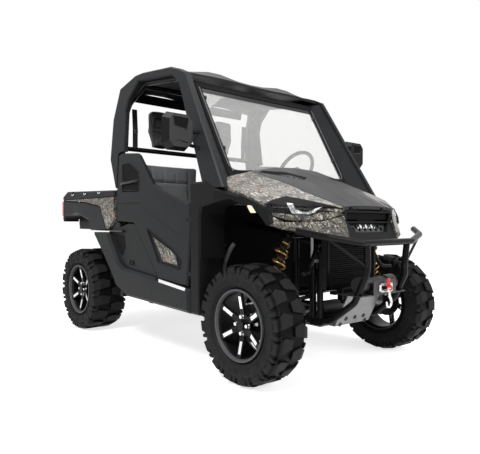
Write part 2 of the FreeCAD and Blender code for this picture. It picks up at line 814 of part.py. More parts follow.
def shock_shape(front):
    """A left shock absorber: two eyes, a body, a rod and two spring seats."""
    head, foot = shock_line(front)
    along = (foot - head).normalize()
    length = (foot - head).Length
    middle = head + along * (length / 2)
    low = foot - along * (SPRING_SEAT * 2 + SHOCK_EYE_RADIUS)
    high = head + along * (CROSS_TUBE_RADIUS + SHOCK_EYE_RADIUS)
    return fused([
        Part.makeSphere(SHOCK_EYE_RADIUS, head),
        Part.makeSphere(SHOCK_EYE_RADIUS, foot),
        rod(high, middle, SHOCK_RADIUS),
        rod(head, foot, SHOCK_RADIUS / 2),
        rod(high, high + along * SPRING_SEAT, SPRING_RADIUS),
        rod(low, low + along * SPRING_SEAT, SPRING_RADIUS),
    ])


def spring_shape(front):
    """The coil spring round a left shock absorber, in flat facets, between its two seats."""
    head, foot = shock_line(front)
    along = (foot - head).normalize()
    side = along.cross(Vector(1, 0, 0)).normalize()
    other = along.cross(side)
    clear = COIL_WIRE_RADIUS + SEAT_GAP
    start = head + along * (CROSS_TUBE_RADIUS + SHOCK_EYE_RADIUS + SPRING_SEAT + clear)
    end = foot - along * (SPRING_SEAT * 2 + SHOCK_EYE_RADIUS + clear)
    steps = COIL_TURNS * COIL_SIDES
    coil = SPRING_RADIUS - COIL_WIRE_RADIUS
    loops = []
    for i in range(steps + 1):
        turn = 2 * math.pi * i / COIL_SIDES
        outward = side * math.cos(turn) + other * math.sin(turn)
        middle = start + (end - start) * (i / steps) + outward * coil
        loops.append([middle + outward * (COIL_WIRE_RADIUS * math.cos(angle))
                      + along * (COIL_WIRE_RADIUS * math.sin(angle))
                      for angle in [2 * math.pi * k / COIL_WIRE_SIDES
                                    for k in range(COIL_WIRE_SIDES)]])
    faces = [polygon_face(loops[0]), polygon_face(loops[-1])]
    for loop, following in zip(loops, loops[1:]):
        for k, point in enumerate(loop):
            after = (k + 1) % len(loop)
            faces.append(polygon_face([point, loop[after], following[k]]))
            faces.append(polygon_face([loop[after], following[after], following[k]]))
    solid = Part.Solid(Part.Shell(faces))
    return solid if solid.Volume > 0 else solid.reversed()


def make_shocks():
    """Four shock absorbers and four springs."""
    keep("shock_absorbers", group([both_sides(shock_shape(True)), both_sides(shock_shape(False))]))
    keep("coil_springs", group([both_sides(spring_shape(True)), both_sides(spring_shape(False))]))


# Driveline

def half_shaft(axle_x, start_y, end_y):
    """A left half shaft with a boot at each end."""
    start = Vector(axle_x, start_y, DIFFERENTIAL_Z)
    end = Vector(axle_x, end_y, TYRE_DIAMETER / 2)
    along = (end - start).normalize() * BOOT_LENGTH
    inner = Part.makeCone(BOOT_RADIUS, SHAFT_RADIUS, BOOT_LENGTH, start, along)
    outer = Part.makeCone(SHAFT_RADIUS, BOOT_RADIUS, BOOT_LENGTH, end - along, along)
    room = block(axle_x - WHEELBASE / 2, axle_x + WHEELBASE / 2, start_y, end_y, 0, BODY_HEIGHT)
    return fused([rod(start, end, SHAFT_RADIUS), inner, outer]).common(room)


def make_driveline():
    """Front differential, propeller shaft, half shafts, transaxle, engine and muffler."""
    front_x = WHEELBASE / 2
    rear_x = -WHEELBASE / 2
    nose_x = front_x - DIFFERENTIAL_RADIUS * 2
    case = rod(Vector(front_x, -DIFFERENTIAL_HALF, DIFFERENTIAL_Z),
               Vector(front_x, DIFFERENTIAL_HALF, DIFFERENTIAL_Z), DIFFERENTIAL_RADIUS)
    pinion = rod(Vector(nose_x, 0, DIFFERENTIAL_Z), Vector(front_x, 0, DIFFERENTIAL_Z), PINION_RADIUS)
    front_case = fused([case, pinion])

    axle = rod(Vector(rear_x, -TRANSAXLE_HALF, DIFFERENTIAL_Z),
               Vector(rear_x, TRANSAXLE_HALF, DIFFERENTIAL_Z), TRANSAXLE_RADIUS)
    gearbox = block(rear_x, ENGINE_REAR_X - SEAT_GAP, -TRANSAXLE_HALF, TRANSAXLE_HALF,
                    DIFFERENTIAL_Z - BAR, DIFFERENTIAL_Z + BAR)
    keep("axle_cases", group([front_case, fused([axle, gearbox])]))
    keep("engine", block(ENGINE_REAR_X, ENGINE_FRONT_X, -ENGINE_HALF_WIDTH, ENGINE_HALF_WIDTH,
                         RAIL_Z + BAR / 2 + SEAT_GAP, ENGINE_TOP_Z))

    front_end = KINGPIN_Y - BALL_RADIUS - BALL_GAP - STUB_GAP
    rear_end = KINGPIN_Y - BALL_RADIUS - SEAT_GAP
    propeller = rod(Vector(nose_x - SEAT_GAP, 0, DIFFERENTIAL_Z),
                    Vector(ENGINE_FRONT_X + SEAT_GAP, 0, DIFFERENTIAL_Z), SHAFT_RADIUS)
    keep("drive_shafts", group([
        propeller,
        both_sides(half_shaft(front_x, DIFFERENTIAL_HALF + SEAT_GAP, front_end)),
        both_sides(half_shaft(rear_x, TRANSAXLE_HALF + SEAT_GAP, rear_end)),
    ]))

    muffler_x = BED_RAIL_REAR_X + BAR / 2
    muffler_z = BED_RAIL_Z - BAR / 2 - MUFFLER_RADIUS - SEAT_GAP
    drum = rod(Vector(muffler_x, -MUFFLER_HALF, muffler_z),
               Vector(muffler_x, MUFFLER_HALF, muffler_z), MUFFLER_RADIUS)
    pipe = bent_tube(
        [
            Vector(muffler_x, MUFFLER_HALF - BAR, muffler_z),
            Vector(muffler_x - MUFFLER_RADIUS - BAR, MUFFLER_HALF - BAR, muffler_z),
            Vector(muffler_x - MUFFLER_RADIUS - BAR * 2, MUFFLER_HALF - BAR, muffler_z - BAR),
        ],
        TAILPIPE_RADIUS, FRAME_BEND,
    )
    keep("muffler", fused([drum, pipe]))


# Steering

def steering_axis():
    """The steering wheel's middle and the direction of its column, down and forward."""
    centre = Vector(WHEEL_CENTRE_X_SHARE * WHEELBASE, WHEEL_CENTRE_Y_SHARE * HALF_WIDTH,
                    WHEEL_CENTRE_Z_SHARE * BODY_HEIGHT)
    tilt = math.radians(STEERING_TILT)
    return centre, Vector(math.cos(tilt), 0, -math.sin(tilt))


def steering_wheel_shape():
    """A rim, a hub and three spokes."""
    centre, down = steering_axis()
    rim = Part.makeTorus(STEERING_WHEEL_RADIUS, STEERING_RIM_RADIUS, centre, down)
    hub_end = centre + down * STEERING_HUB_DEPTH
    hub = rod(centre, hub_end, STEERING_HUB_RADIUS)
    pieces = [rim, hub]
    across = Vector(0, 1, 0)
    upward = down.cross(across).normalize()
    for direction in (across, -across, upward):
        if direction.z > 0:
            direction = -direction
        width = down.cross(direction).normalize() * (STEERING_SPOKE_WIDTH / 2)
        spoke = prism([centre - width, centre + width,
                       centre + width + direction * STEERING_WHEEL_RADIUS,
                       centre - width + direction * STEERING_WHEEL_RADIUS],
                      down * STEERING_SPOKE_THICKNESS)
        pieces.append(spoke)
    return fused(pieces)


def column_line():
    """Start and end of the fixed steering column."""
    centre, down = steering_axis()
    start = centre + down * (STEERING_HUB_DEPTH + SEAT_GAP)
    return start, start + down * COLUMN_LENGTH


def column_shape(extra):
    """The fixed column and its lower shaft down to the rack, made thicker by a gap."""
    start, end = column_line()
    foot = Vector(rack_x(), RACK_HOUSING_HALF - BAR, RACK_Z + RACK_HOUSING_RADIUS)
    return rod(start, end, COLUMN_RADIUS + extra).fuse(rod(end, foot, COLUMN_RADIUS / 2 + extra))


def rack_x():
    """Place along of the rack, level with the knuckles' steering arms."""
    return WHEELBASE / 2 - STEER_ARM_REACH


def make_steering():
    """Steering wheel, column with its lower shaft, rack housing and the rack with tie rods."""
    keep("steering_wheel", steering_wheel_shape())
    x = rack_x()
    housing = rod(Vector(x, -RACK_HOUSING_HALF, RACK_Z), Vector(x, RACK_HOUSING_HALF, RACK_Z),
                  RACK_HOUSING_RADIUS)
    post_x = WHEELBASE / 2 - ARM_SPREAD - BAR / 2 - SEAT_GAP
    clamps = both_sides(block(x, post_x, RAIL_Y - BAR / 2, RACK_HOUSING_HALF,
                              RACK_Z - CROSS_TUBE_RADIUS, RACK_Z + CROSS_TUBE_RADIUS))
    bore = rod(Vector(x, -HALF_WIDTH, RACK_Z), Vector(x, HALF_WIDTH, RACK_Z),
               RACK_RADIUS + BEARING_GAP)
    keep("steering_column", fused([column_shape(0), housing, clamps]).cut(bore))

    rod_end = Vector(x, KINGPIN_Y - BALL_GAP, STEER_ARM_Z + BALL_GAP + TIE_ROD_RADIUS * 2)
    tie = rod(Vector(x, RACK_HALF, RACK_Z), rod_end, TIE_ROD_RADIUS)
    eye = rod(rod_end - Vector(0, 0, TIE_ROD_RADIUS * 2), rod_end + Vector(0, 0, TIE_ROD_RADIUS),
              BALL_RADIUS)
    side = fused([tie, eye, Part.makeSphere(BALL_RADIUS, Vector(x, RACK_HALF, RACK_Z))])
    bar = rod(Vector(x, -RACK_HALF, RACK_Z), Vector(x, RACK_HALF, RACK_Z), RACK_RADIUS)
    keep("steering_rack", fused([bar, side, mirrored(side)]))


# Cab structure

CAB_SIDE_SHARES = [
    (-0.235, 0.5805), (-0.296, 0.696), (-0.296, 0.854), (-0.257, 0.972), (-0.131, 1.004),
    (0.096, 0.980), (0.146, 0.963), (0.190, 0.943), (0.425, 0.556), (0.328, 0.556),
    (0.307, 0.628), (0.145, 0.923), (0.106, 0.948), (-0.118, 0.974), (-0.185, 0.914),
    (-0.202, 0.872), (-0.192, 0.715), (-0.213, 0.5805),
]
DOOR_SHARES = [
    (-0.2155, 0.456), (-0.090, 0.450), (0.077, 0.262), (0.250, 0.252), (0.266, 0.442),
    (0.259, 0.485), (0.266, 0.520), (0.238, 0.514), (0.034, 0.584), (-0.077, 0.694),
    (-0.095, 0.7035), (-0.209, 0.714), (-0.2255, 0.7075), (-0.218, 0.573),
]
DOOR_FIELD_SHARES = [
    (-0.300, 0.524), (-0.056, 0.523), (0.010, 0.496), (0.153, 0.434), (0.225, 0.408),
    (0.225, 0.200), (-0.300, 0.200),
]
HANDLE_POCKET_SHARES = [
    (-0.193, 0.668), (-0.123, 0.655), (-0.069, 0.586), (-0.065, 0.560), (-0.177, 0.565),
]
HANDLE_BAR_SHARES = [(-0.192, 0.606), (-0.070, 0.598), (-0.072, 0.588), (-0.192, 0.595)]
INSERT_FRAME_SHARES = [
    (0.004, 0.430), (0.077, 0.314), (0.203, 0.300), (0.213, 0.328), (0.159, 0.367),
]
INSERT_SHARES = [
    (0.042, 0.405), (0.106, 0.320), (0.195, 0.313), (0.185, 0.345), (0.154, 0.362),
]
SCOOP_SHARES = [
    (-0.255, 0.408), (-0.170, 0.402), (-0.160, 0.355), (-0.180, 0.325), (-0.200, 0.335),
]
ROCKER_SHARES = [
    (-0.408, 0.410), (-0.275, 0.412), (-0.192, 0.301), (-0.1455, 0.282), (0.091, 0.262),
    (0.272, 0.245), (0.272, 0.170), (-0.130, 0.180), (-0.208, 0.209), (-0.233, 0.241),
    (-0.300, 0.310),
]
SIDE_PANEL_SHARES = [
    (-0.2335, 0.578), (-0.205, 0.578), (-0.205, 0.430), (-0.080, 0.460), (0.085, 0.255),
    (-0.130, 0.270), (-0.200, 0.290), (-0.280, 0.405), (-0.2335, 0.455),
]
BED_SIDE_SHARES = [
    (-0.240, 0.574), (-0.689, 0.585), (-0.735, 0.550), (-0.735, 0.4165), (-0.288, 0.4165),
    (-0.240, 0.457),
]
FLARE_SHARES = [
    (0.2745, 0.170), (0.3226, 0.170), (0.3226, 0.2205), (0.321, 0.479), (0.328, 0.500),
    (0.436, 0.522), (0.520, 0.490), (0.5495, 0.447), (0.5605, 0.453), (0.5560, 0.474),
    (0.542, 0.494), (0.518, 0.509), (0.482, 0.531), (0.388, 0.554), (0.340, 0.5765),
    (0.269, 0.5765), (0.269, 0.525),
]
FLARE_PLAN_SHARES = [
    (0.256, 0.987), (0.390, 0.987), (0.482, 0.928), (0.518, 0.868), (0.5615, 0.818),
    (0.5615, 0.790), (0.503, 0.737), (0.256, 0.737),
]
HOOP_SHARES = [
    (-0.213, 0.0), (-0.213, 0.560), (-0.259, 0.708), (-0.246, 0.905), (-0.116, 0.970),
    (0.114, 0.945), (0.168, 0.902), (0.372, 0.578),
]


def cage_y(z):
    """How far out the cage's tubes lie, just inside the cab sides."""
    lean = math.atan(SIDE_LEAN / (BODY_HEIGHT - BELT_HEIGHT))
    inside = side_y(z, CAB_SIDE_Y - CAB_SIDE_THICKNESS)
    return inside - (CAGE_RADIUS + SEAT_GAP) / math.cos(lean)


def hoop_points():
    """The left hoop: up behind the door, along the roof and down the windscreen pillar."""
    points = [Vector(x, cage_y(z), z) for x, z in side_points(HOOP_SHARES)]
    points[0].z = FLOOR_Z + SEAT_GAP
    return points


def hoop_tube(extra):
    """The left hoop's tube, with its radius made larger by a gap."""
    return bent_tube(hoop_points(), CAGE_RADIUS + extra, CAGE_BEND)


def cross_tube(x, z, radius):
    """A straight tube across the cab between the hoops."""
    reach = cage_y(z) - SEAT_GAP
    tube = rod(Vector(x, -reach, z), Vector(x, reach, z), radius)
    for shape in (hoop_tube(SEAT_GAP), mirrored(hoop_tube(SEAT_GAP))):
        tube = tube.cut(shape)
    return longest_solid(tube)


def longest_solid(shape):
    """The largest solid of a cut shape, without the offcuts beyond the cut."""
    return max(shape.Solids, key=lambda solid: solid.Volume)


def windscreen_x(z):
    """Place along of the windscreen's middle plane at a height."""
    share = (z - GLASS_FOOT_Z) / (GLASS_HEAD_Z - GLASS_FOOT_Z)
    return GLASS_FOOT_X + share * (GLASS_HEAD_X - GLASS_FOOT_X)


def windscreen_slab(half_width, low_z, high_z, thickness):
    """A flat sheet in the windscreen's plane."""
    slope = Vector(GLASS_HEAD_X - GLASS_FOOT_X, 0, GLASS_HEAD_Z - GLASS_FOOT_Z).normalize()
    normal = Vector(slope.z, 0, -slope.x)
    back = normal * (-thickness / 2)
    corners = [Vector(windscreen_x(z), y, z) + back for y, z in (
        (-half_width, low_z), (half_width, low_z), (half_width, high_z), (-half_width, high_z))]
    return prism(corners, normal * thickness)


NOSE_X_SHARES = [0.359, 0.482, 0.536, 0.657]
NOSE_SECTION_SHARES = [
    [(0.0, 0.641), (0.263, 0.636), (0.526, 0.617), (0.737, 0.598), (0.921, 0.578)],
    [(0.0, 0.595), (0.237, 0.590), (0.445, 0.572), (0.737, 0.551), (0.908, 0.535)],
    [(0.0, 0.568), (0.211, 0.564), (0.399, 0.547), (0.632, 0.526), (0.813, 0.508)],
    [(0.0, 0.505), (0.158, 0.504), (0.263, 0.502), (0.299, 0.500), (0.318, 0.495)],
]
HOOD_PLAN_SHARES = [(0.359, -0.530), (0.656, -0.299), (0.656, 0.299), (0.359, 0.530)]


HOOD_SCOOP_SHARES = [
    (0.376, 0.492), (0.366, 0.433), (0.406, 0.266), (0.463, 0.158), (0.489, 0.263),
    (0.430, 0.354),
]


def nose_solid(drop):
    """The nose's outer surface lofted from cross sections and carried down by a depth."""
    sections = []
    for x_share, half in zip(NOSE_X_SHARES, NOSE_SECTION_SHARES):
        x = x_share * WHEELBASE
        right = [(-y * HALF_WIDTH, z * BODY_HEIGHT) for y, z in reversed(half[1:])]
        left = [(y * HALF_WIDTH, z * BODY_HEIGHT) for y, z in half]
        top = [Vector(x, y, z) for y, z in right + left]
        bottom = [Vector(x, y, z - drop) for y, z in reversed(right + left)]
        sections.append(top + bottom)
    return loft(sections)


def pillar_shape():
    """The left windscreen pillar's cladding, from the glass out to the side."""
    sections = []
    for z, front_share, rear_share in PILLAR_SHARES:
        z = z * BODY_HEIGHT
        outer = side_y(z, CAB_SIDE_Y)
        glass = windscreen_x(z)
        inner = GLASS_HALF_WIDTH + SEAL_WIDTH + SEAT_GAP
        front_x = front_share * WHEELBASE
        rear_x = rear_share * WHEELBASE
        sections.append([
            Vector(front_x - PANEL_BEVEL, outer, z),
            Vector(rear_x + PANEL_BEVEL, outer, z),
            Vector(rear_x, outer - PANEL_BEVEL, z),
            Vector(rear_x, outer - CAB_SIDE_THICKNESS, z),
            Vector(glass - CAB_SIDE_THICKNESS, inner, z),
            Vector(glass, inner, z),
            Vector(front_x, outer - PANEL_BEVEL, z),
        ])
    return loft(sections)


PILLAR_SHARES = [(0.556, 0.425, 0.328), (0.935, 0.195, 0.142)]

ROOF_X_SHARES = [-0.257, -0.123, 0.118, 0.172]
ROOF_EDGE_SHARES = [0.966, 0.988, 0.9635, 0.949]
ROOF_RISE_SHARES = [0.012, 0.018, 0.022, 0.004]
ROOF_SECTION_SHARES = [(0.0, 0.45), (0.20, 0.55), (0.45, 1.0), (0.62, 0.95), (0.85, 0.35), (1.0, 0.0)]


def roof_shape():
    """A roof panel with two long humps, lofted from cross sections."""
    sections = []
    for x_share, edge, rise in zip(ROOF_X_SHARES, ROOF_EDGE_SHARES, ROOF_RISE_SHARES):
        half = [(y * ROOF_HALF_WIDTH, (edge + lift * rise) * BODY_HEIGHT)
                for y, lift in ROOF_SECTION_SHARES]
        whole = [(-y, z) for y, z in reversed(half[1:])] + half
        x = x_share * WHEELBASE
        top = [Vector(x, y, z) for y, z in whole]
        bottom = [Vector(x, y, z - ROOF_THICKNESS) for y, z in reversed(whole)]
        sections.append(top + bottom)
    return loft(sections)


def make_cab():
    """Hoops and cross tubes, cab sides, roof and windscreen."""
    hoop = hoop_tube(0)
    grown = hoop_tube(SEAT_GAP)
    seat_tube = cross_tube(SEAT_TUBE_X, SEAT_TUBE_Z, CROSS_TUBE_RADIUS)
    corners = hoop_points()
    roof_rear = cross_tube(corners[4].x, corners[4].z - CAGE_RADIUS, CROSS_TUBE_RADIUS)
    roof_front = cross_tube(corners[5].x, corners[5].z - CAGE_RADIUS, CROSS_TUBE_RADIUS)
    cowl_x = NOSE_X_SHARES[0] * WHEELBASE - SEAT_GAP
    ahead = block(cowl_x, WHEELBASE, 0, HALF_WIDTH, 0, BODY_HEIGHT)
    keep("roll_cage", group([both_sides(hoop.cut(ahead)), seat_tube, roof_rear, roof_front]))

    roof = roof_shape()
    for shape in (grown, mirrored(grown)):
        roof = roof.cut(shape)
    arch = side_panel(CAB_SIDE_SHARES, CAB_SIDE_Y, CAB_SIDE_THICKNESS)
    arch = bevelled(arch.Solids[0], PANEL_BEVEL).fuse(pillar_shape())
    arch = arch.cut(grown).cut(roof).cut(nose_solid(NOSE_DEPTH))
    arch = arch.cut(keep_out(side_points(FLARE_SHARES), SEAT_GAP, 0, HALF_WIDTH))
    arch = arch.cut(keep_out(side_points(DOOR_SHARES), DOOR_GAP, 0, HALF_WIDTH))
    arch = arch.cut(keep_out(side_points(BED_SIDE_SHARES), BED_GAP, 0, HALF_WIDTH))
    arch = longest_solid(arch)
    keep("cab_side_left", arch)
    keep("cab_side_right", mirrored(arch))
    keep("roof", longest_solid(roof))

    outer_half = GLASS_HALF_WIDTH + SEAL_WIDTH
    glass = windscreen_slab(GLASS_HALF_WIDTH, GLASS_FOOT_Z, GLASS_HEAD_Z, GLASS_THICKNESS)
    room = windscreen_slab(GLASS_HALF_WIDTH + SEAT_GAP, GLASS_FOOT_Z - SEAT_GAP,
                           GLASS_HEAD_Z + SEAT_GAP, GLASS_THICKNESS + SEAT_GAP * 2)
    seal = windscreen_slab(outer_half, GLASS_FOOT_Z - SEAL_WIDTH, GLASS_HEAD_Z + SEAL_WIDTH,
                           SEAL_THICKNESS)
    sight = windscreen_slab(GLASS_HALF_WIDTH - SEAL_OVERLAP, GLASS_FOOT_Z + SEAL_OVERLAP,
                            GLASS_HEAD_Z - SEAL_OVERLAP, SEAL_THICKNESS * 2)
    keep("windscreen", glass)
    keep("windscreen_seal", seal.cut(room).cut(sight).cut(roof))


# Nose: hood, covers, lamps, grille and flares

LAMP_SHARES = [
    (0.316, 0.6544, 0.4923, 0.6564, 0.4769),
    (0.434, 0.6282, 0.4949, 0.6359, 0.4641),
    (0.592, 0.5949, 0.5000, 0.6041, 0.4579),
    (0.717, 0.5667, 0.5026, 0.5744, 0.4641),
    (0.808, 0.5395, 0.5026, 0.5415, 0.4821),
]
WING_SHARES = [
    (0.3105, [(0.6579, 0.4744), (0.6800, 0.4062), (0.6687, 0.4041), (0.6467, 0.4723)]),
    (0.4737, [(0.6333, 0.4579), (0.6503, 0.4164), (0.6390, 0.4144), (0.6221, 0.4559)]),
    (0.7171, [(0.5764, 0.4554), (0.5846, 0.4364), (0.5733, 0.4338), (0.5651, 0.4533)]),
    (0.8132, [(0.5395, 0.4795), (0.5508, 0.4513), (0.5395, 0.4492), (0.5282, 0.4774)]),
]
GRILLE_SHARES = [
    (0.6585, 0.4897), (0.6544, 0.4564), (0.6826, 0.3990), (0.6713, 0.3970), (0.6426, 0.4554),
    (0.6472, 0.4877),
]
GRILLE_BACK_SHARES = [(0.6711, 0.3970), (0.6424, 0.4554), (0.6470, 0.4877)]
GRILLE_OPENING_SHARES = [
    [(-0.270, 0.4590), (0.270, 0.4590), (0.280, 0.4845), (-0.280, 0.4845)],
    [(-0.197, 0.4267), (0.197, 0.4267), (0.263, 0.4544), (-0.263, 0.4544)],
]


def lamp_shape(front_depth, back_depth, inset):
    """A slice of the left headlamp between two depths behind its face, made smaller by an inset."""
    sections = []
    ends = (0, len(LAMP_SHARES) - 1)
    for i, (y, x_top, z_top, x_low, z_low) in enumerate(LAMP_SHARES):
        shift = (inset if i == ends[0] else 0) - (inset if i == ends[1] else 0)
        y = y * HALF_WIDTH + shift
        top_z = z_top * BODY_HEIGHT - inset
        low_z = z_low * BODY_HEIGHT + inset
        x_top = x_top * WHEELBASE
        x_low = x_low * WHEELBASE
        sections.append([
            Vector(x_top - front_depth, y, top_z), Vector(x_low - front_depth, y, low_z),
            Vector(x_low - back_depth, y, low_z), Vector(x_top - back_depth, y, top_z),
        ])
    return loft(sections)


def hexagon(y, z, radius):
    """A hexagon in the front view, with two level sides."""
    corners = []
    for i in range(HEXAGON_SIDES):
        angle = 2 * math.pi * i / HEXAGON_SIDES
        corners.append((y + radius * math.cos(angle), z + radius * math.sin(angle)))
    return corners


def mesh_holes():
    """Staggered hexagonal holes that fill the grille's two openings."""
    flat = MESH_HOLE_RADIUS * math.sqrt(3)
    row_step = flat + MESH_BAR
    column_step = row_step * math.sqrt(3) / 2
    low_z = GRILLE_OPENING_SHARES[1][0][1] * BODY_HEIGHT
    high_z = GRILLE_OPENING_SHARES[0][2][1] * BODY_HEIGHT
    outline = [(y * HALF_WIDTH, z * BODY_HEIGHT) for y, z in GRILLE_OPENING_SHARES[0]]
    wide_half = outline[1][0]
    columns = int(wide_half / column_step)
    rows = int((high_z - low_z) / row_step)
    holes = []
    for column in range(-columns, columns + 1):
        lift = row_step / 2 if column % 2 else 0
        for row in range(rows + 1):
            y = column * column_step
            z = low_z + row * row_step + lift
            holes.append(front_slab(hexagon(y, z, MESH_HOLE_RADIUS), 0, WHEELBASE))
    rooms = []
    for shares in GRILLE_OPENING_SHARES:
        room = [(y * HALF_WIDTH, z * BODY_HEIGHT) for y, z in shares]
        rooms.append(front_slab(room, 0, WHEELBASE))
    return group([hole for hole in holes if in_rooms(hole, rooms)])


def in_rooms(hole, rooms):
    """Whether a hole lies wholly inside one of several rooms."""
    return any(room.common(hole).Volume > hole.Volume * WHOLE_SHARE for room in rooms)


def flare_shape():
    """The left front wheel flare with its leg behind the wheel, clear of the turning tyre."""
    band = side_slab(side_points(FLARE_SHARES), 0, HALF_WIDTH)
    plan = plan_slab(plan_points(FLARE_PLAN_SHARES), 0, BODY_HEIGHT)
    return bevelled(band.common(plan).Solids[0], FLARE_BEVEL).cut(tyre_sweep())


def tyre_sweep():
    """The room that the left front tyre needs as it steers."""
    centre = wheel_centre(True, 1)
    reach_y = centre.y + FRONT_TYRE_WIDTH / 2 - KINGPIN_Y
    radius = math.hypot(TYRE_DIAMETER / 2, reach_y) + SWEEP_GAP
    foot = Vector(centre.x, KINGPIN_Y, 0)
    return rod(foot, foot + Vector(0, 0, TYRE_DIAMETER + SWEEP_GAP), radius)


def hood_hinge(side):
    """The hood hinge on one side, at the hood's front edge."""
    y = side * HOOD_HINGE_Y - HOOD_HINGE_LENGTH / 2
    start = Vector(HOOD_PIVOT_X, y, HOOD_PIVOT_Z)
    end = start + Vector(0, HOOD_HINGE_LENGTH, 0)
    moving = Vector(-HOOD_HINGE_REACH, 0, HOOD_HINGE_LIFT)
    fixed = Vector(-HOOD_HINGE_RADIUS, 0, -HOOD_HINGE_REACH / 2)
    return hinge(start, end, HOOD_HINGE_RADIUS, moving, fixed)


def hinge_room(start, end, radius):
    """The room that a hinge's barrels take in the piece that they sit in."""
    along = (end - start).normalize() * SEAM
    return rod(start - along, end + along, radius + HINGE_GAP)


def make_nose():
    """Hood, side covers, headlamps, grille and the two front flares."""
    skin = nose_solid(NOSE_SKIN)
    plan = plan_points(HOOD_PLAN_SHARES)
    hood = skin.common(plan_slab(plan, 0, BODY_HEIGHT))
    wire = Part.makePolygon([Vector(x, y, 0) for x, y in plan + plan[:1]])
    opening = Part.Face(wire.makeOffset2D(HOOD_GAP, 2)).extrude(Vector(0, 0, BODY_HEIGHT))
    scoop = plan_slab(plan_points(HOOD_SCOOP_SHARES), 0, BODY_HEIGHT)
    scoop = scoop.common(nose_solid(SCOOP_DEPTH))
    hood = hood.cut(scoop).cut(mirrored(scoop))
    flare = flare_shape()
    lamp_room = lamp_shape(-SEAT_GAP, LAMP_DEPTH + SEAT_GAP, -SEAT_GAP)
    flare = flare.cut(lamp_room)
    left_half = block(0, WHEELBASE, 0, WHEELBASE, 0, BODY_HEIGHT)
    cover = longest_solid(skin.cut(opening).common(left_half).cut(flare))
    wing = loft([[Vector(x * WHEELBASE, y * HALF_WIDTH, z * BODY_HEIGHT) for x, z in outline]
                 for y, outline in WING_SHARES])
    wing = wing.cut(lamp_room).cut(flare)
    keep("nose_covers", group([both_sides(cover), both_sides(wing)]))

    housing = lamp_shape(LENS_THICKNESS + SEAT_GAP, LAMP_DEPTH, 0)
    housing = housing.cut(lamp_shape(0, LAMP_DEPTH - LAMP_WALL, LAMP_WALL))
    housing = longest_solid(housing.cut(skin))
    lens = longest_solid(lamp_shape(0, LENS_THICKNESS, 0).cut(skin))
    keep("headlamp_housings", both_sides(housing))
    keep("headlamp_lenses", both_sides(lens))

    surround = side_slab(side_points(GRILLE_SHARES), -GRILLE_HALF_WIDTH, GRILLE_HALF_WIDTH)
    for shares in GRILLE_OPENING_SHARES:
        outline = [(y * HALF_WIDTH, z * BODY_HEIGHT) for y, z in shares]
        surround = surround.cut(front_slab(outline, 0, WHEELBASE))
    mesh = side_slab(strip_outline(side_points(GRILLE_BACK_SHARES), MESH_THICKNESS),
                     LIP_WIDTH - GRILLE_HALF_WIDTH, GRILLE_HALF_WIDTH - LIP_WIDTH)
    keep("grille_mesh", mesh.cut(mesh_holes()))

    moving_leaves, fixed_leaves = [], []
    for side in (-1, 1):
        middle, fixed = hood_hinge(side)
        moving_leaves.append(middle)
        fixed_leaves.extend(fixed)
        y = side * HOOD_HINGE_Y
        start = Vector(HOOD_PIVOT_X, y - HOOD_HINGE_LENGTH / 2, HOOD_PIVOT_Z)
        end = Vector(HOOD_PIVOT_X, y + HOOD_HINGE_LENGTH / 2, HOOD_PIVOT_Z)
        hood = hood.cut(hinge_room(start, end, HOOD_HINGE_RADIUS))
    keep("hood", fused([hood] + moving_leaves))
    keep("grille_surround", fused([surround] + fixed_leaves))

    leaves = []
    for z in (DOOR_HINGE_LOW_Z, DOOR_HINGE_HIGH_Z):
        leaves.extend(door_hinge(z)[1])
        flare = flare.cut(door_hinge_room(z))
    flare = flare.cut(keep_out(side_points(DOOR_SHARES), DOOR_GAP, 0, HALF_WIDTH))
    keep("front_flares", both_sides(fused([longest_solid(flare)] + leaves)))

    tube_face = NOSE_TUBE_X + FRAME_TUBE_RADIUS + SEAT_GAP
    keep("radiator", block(tube_face, tube_face + RADIATOR_THICKNESS, -RADIATOR_HALF_WIDTH,
                           RADIATOR_HALF_WIDTH, RADIATOR_LOW_Z, RADIATOR_HIGH_Z))


# Sides: rockers, lower panels and doors

def door_hinge(z):
    """A left door hinge, from a height upward."""
    start = Vector(DOOR_PIVOT_X, DOOR_PIVOT_Y, z)
    end = start + Vector(0, 0, DOOR_HINGE_LENGTH)
    reach = Vector(DOOR_HINGE_REACH, 0, 0)
    return hinge(start, end, DOOR_HINGE_RADIUS, -reach, reach / 2)


def door_hinge_room(z):
    """The room round a door hinge's barrels."""
    start = Vector(DOOR_PIVOT_X, DOOR_PIVOT_Y, z)
    return hinge_room(start, start + Vector(0, 0, DOOR_HINGE_LENGTH), DOOR_HINGE_RADIUS)


def door_shape():
    """The left door with the moving leaves of its two hinges."""
    door = bevelled(side_panel(DOOR_SHARES, CAB_SIDE_Y, DOOR_THICKNESS).Solids[0], PANEL_BEVEL)
    door = door.cut(side_recess(DOOR_FIELD_SHARES, FIELD_DEPTH))
    door = door.cut(side_recess(INSERT_FRAME_SHARES, INSERT_DEPTH))
    door = door.cut(side_recess(HANDLE_POCKET_SHARES, HANDLE_DEPTH))
    insert = side_panel(INSERT_SHARES, CAB_SIDE_Y - FIELD_DEPTH, INSERT_DEPTH)
    handle = side_panel(HANDLE_BAR_SHARES, CAB_SIDE_Y, HANDLE_DEPTH + INSERT_DEPTH)
    door = fused([door, insert, handle])
    leaves = []
    for z in (DOOR_HINGE_LOW_Z, DOOR_HINGE_HIGH_Z):
        door = door.cut(door_hinge_room(z))
        leaves.append(door_hinge(z)[0])
    return fused([door] + leaves)


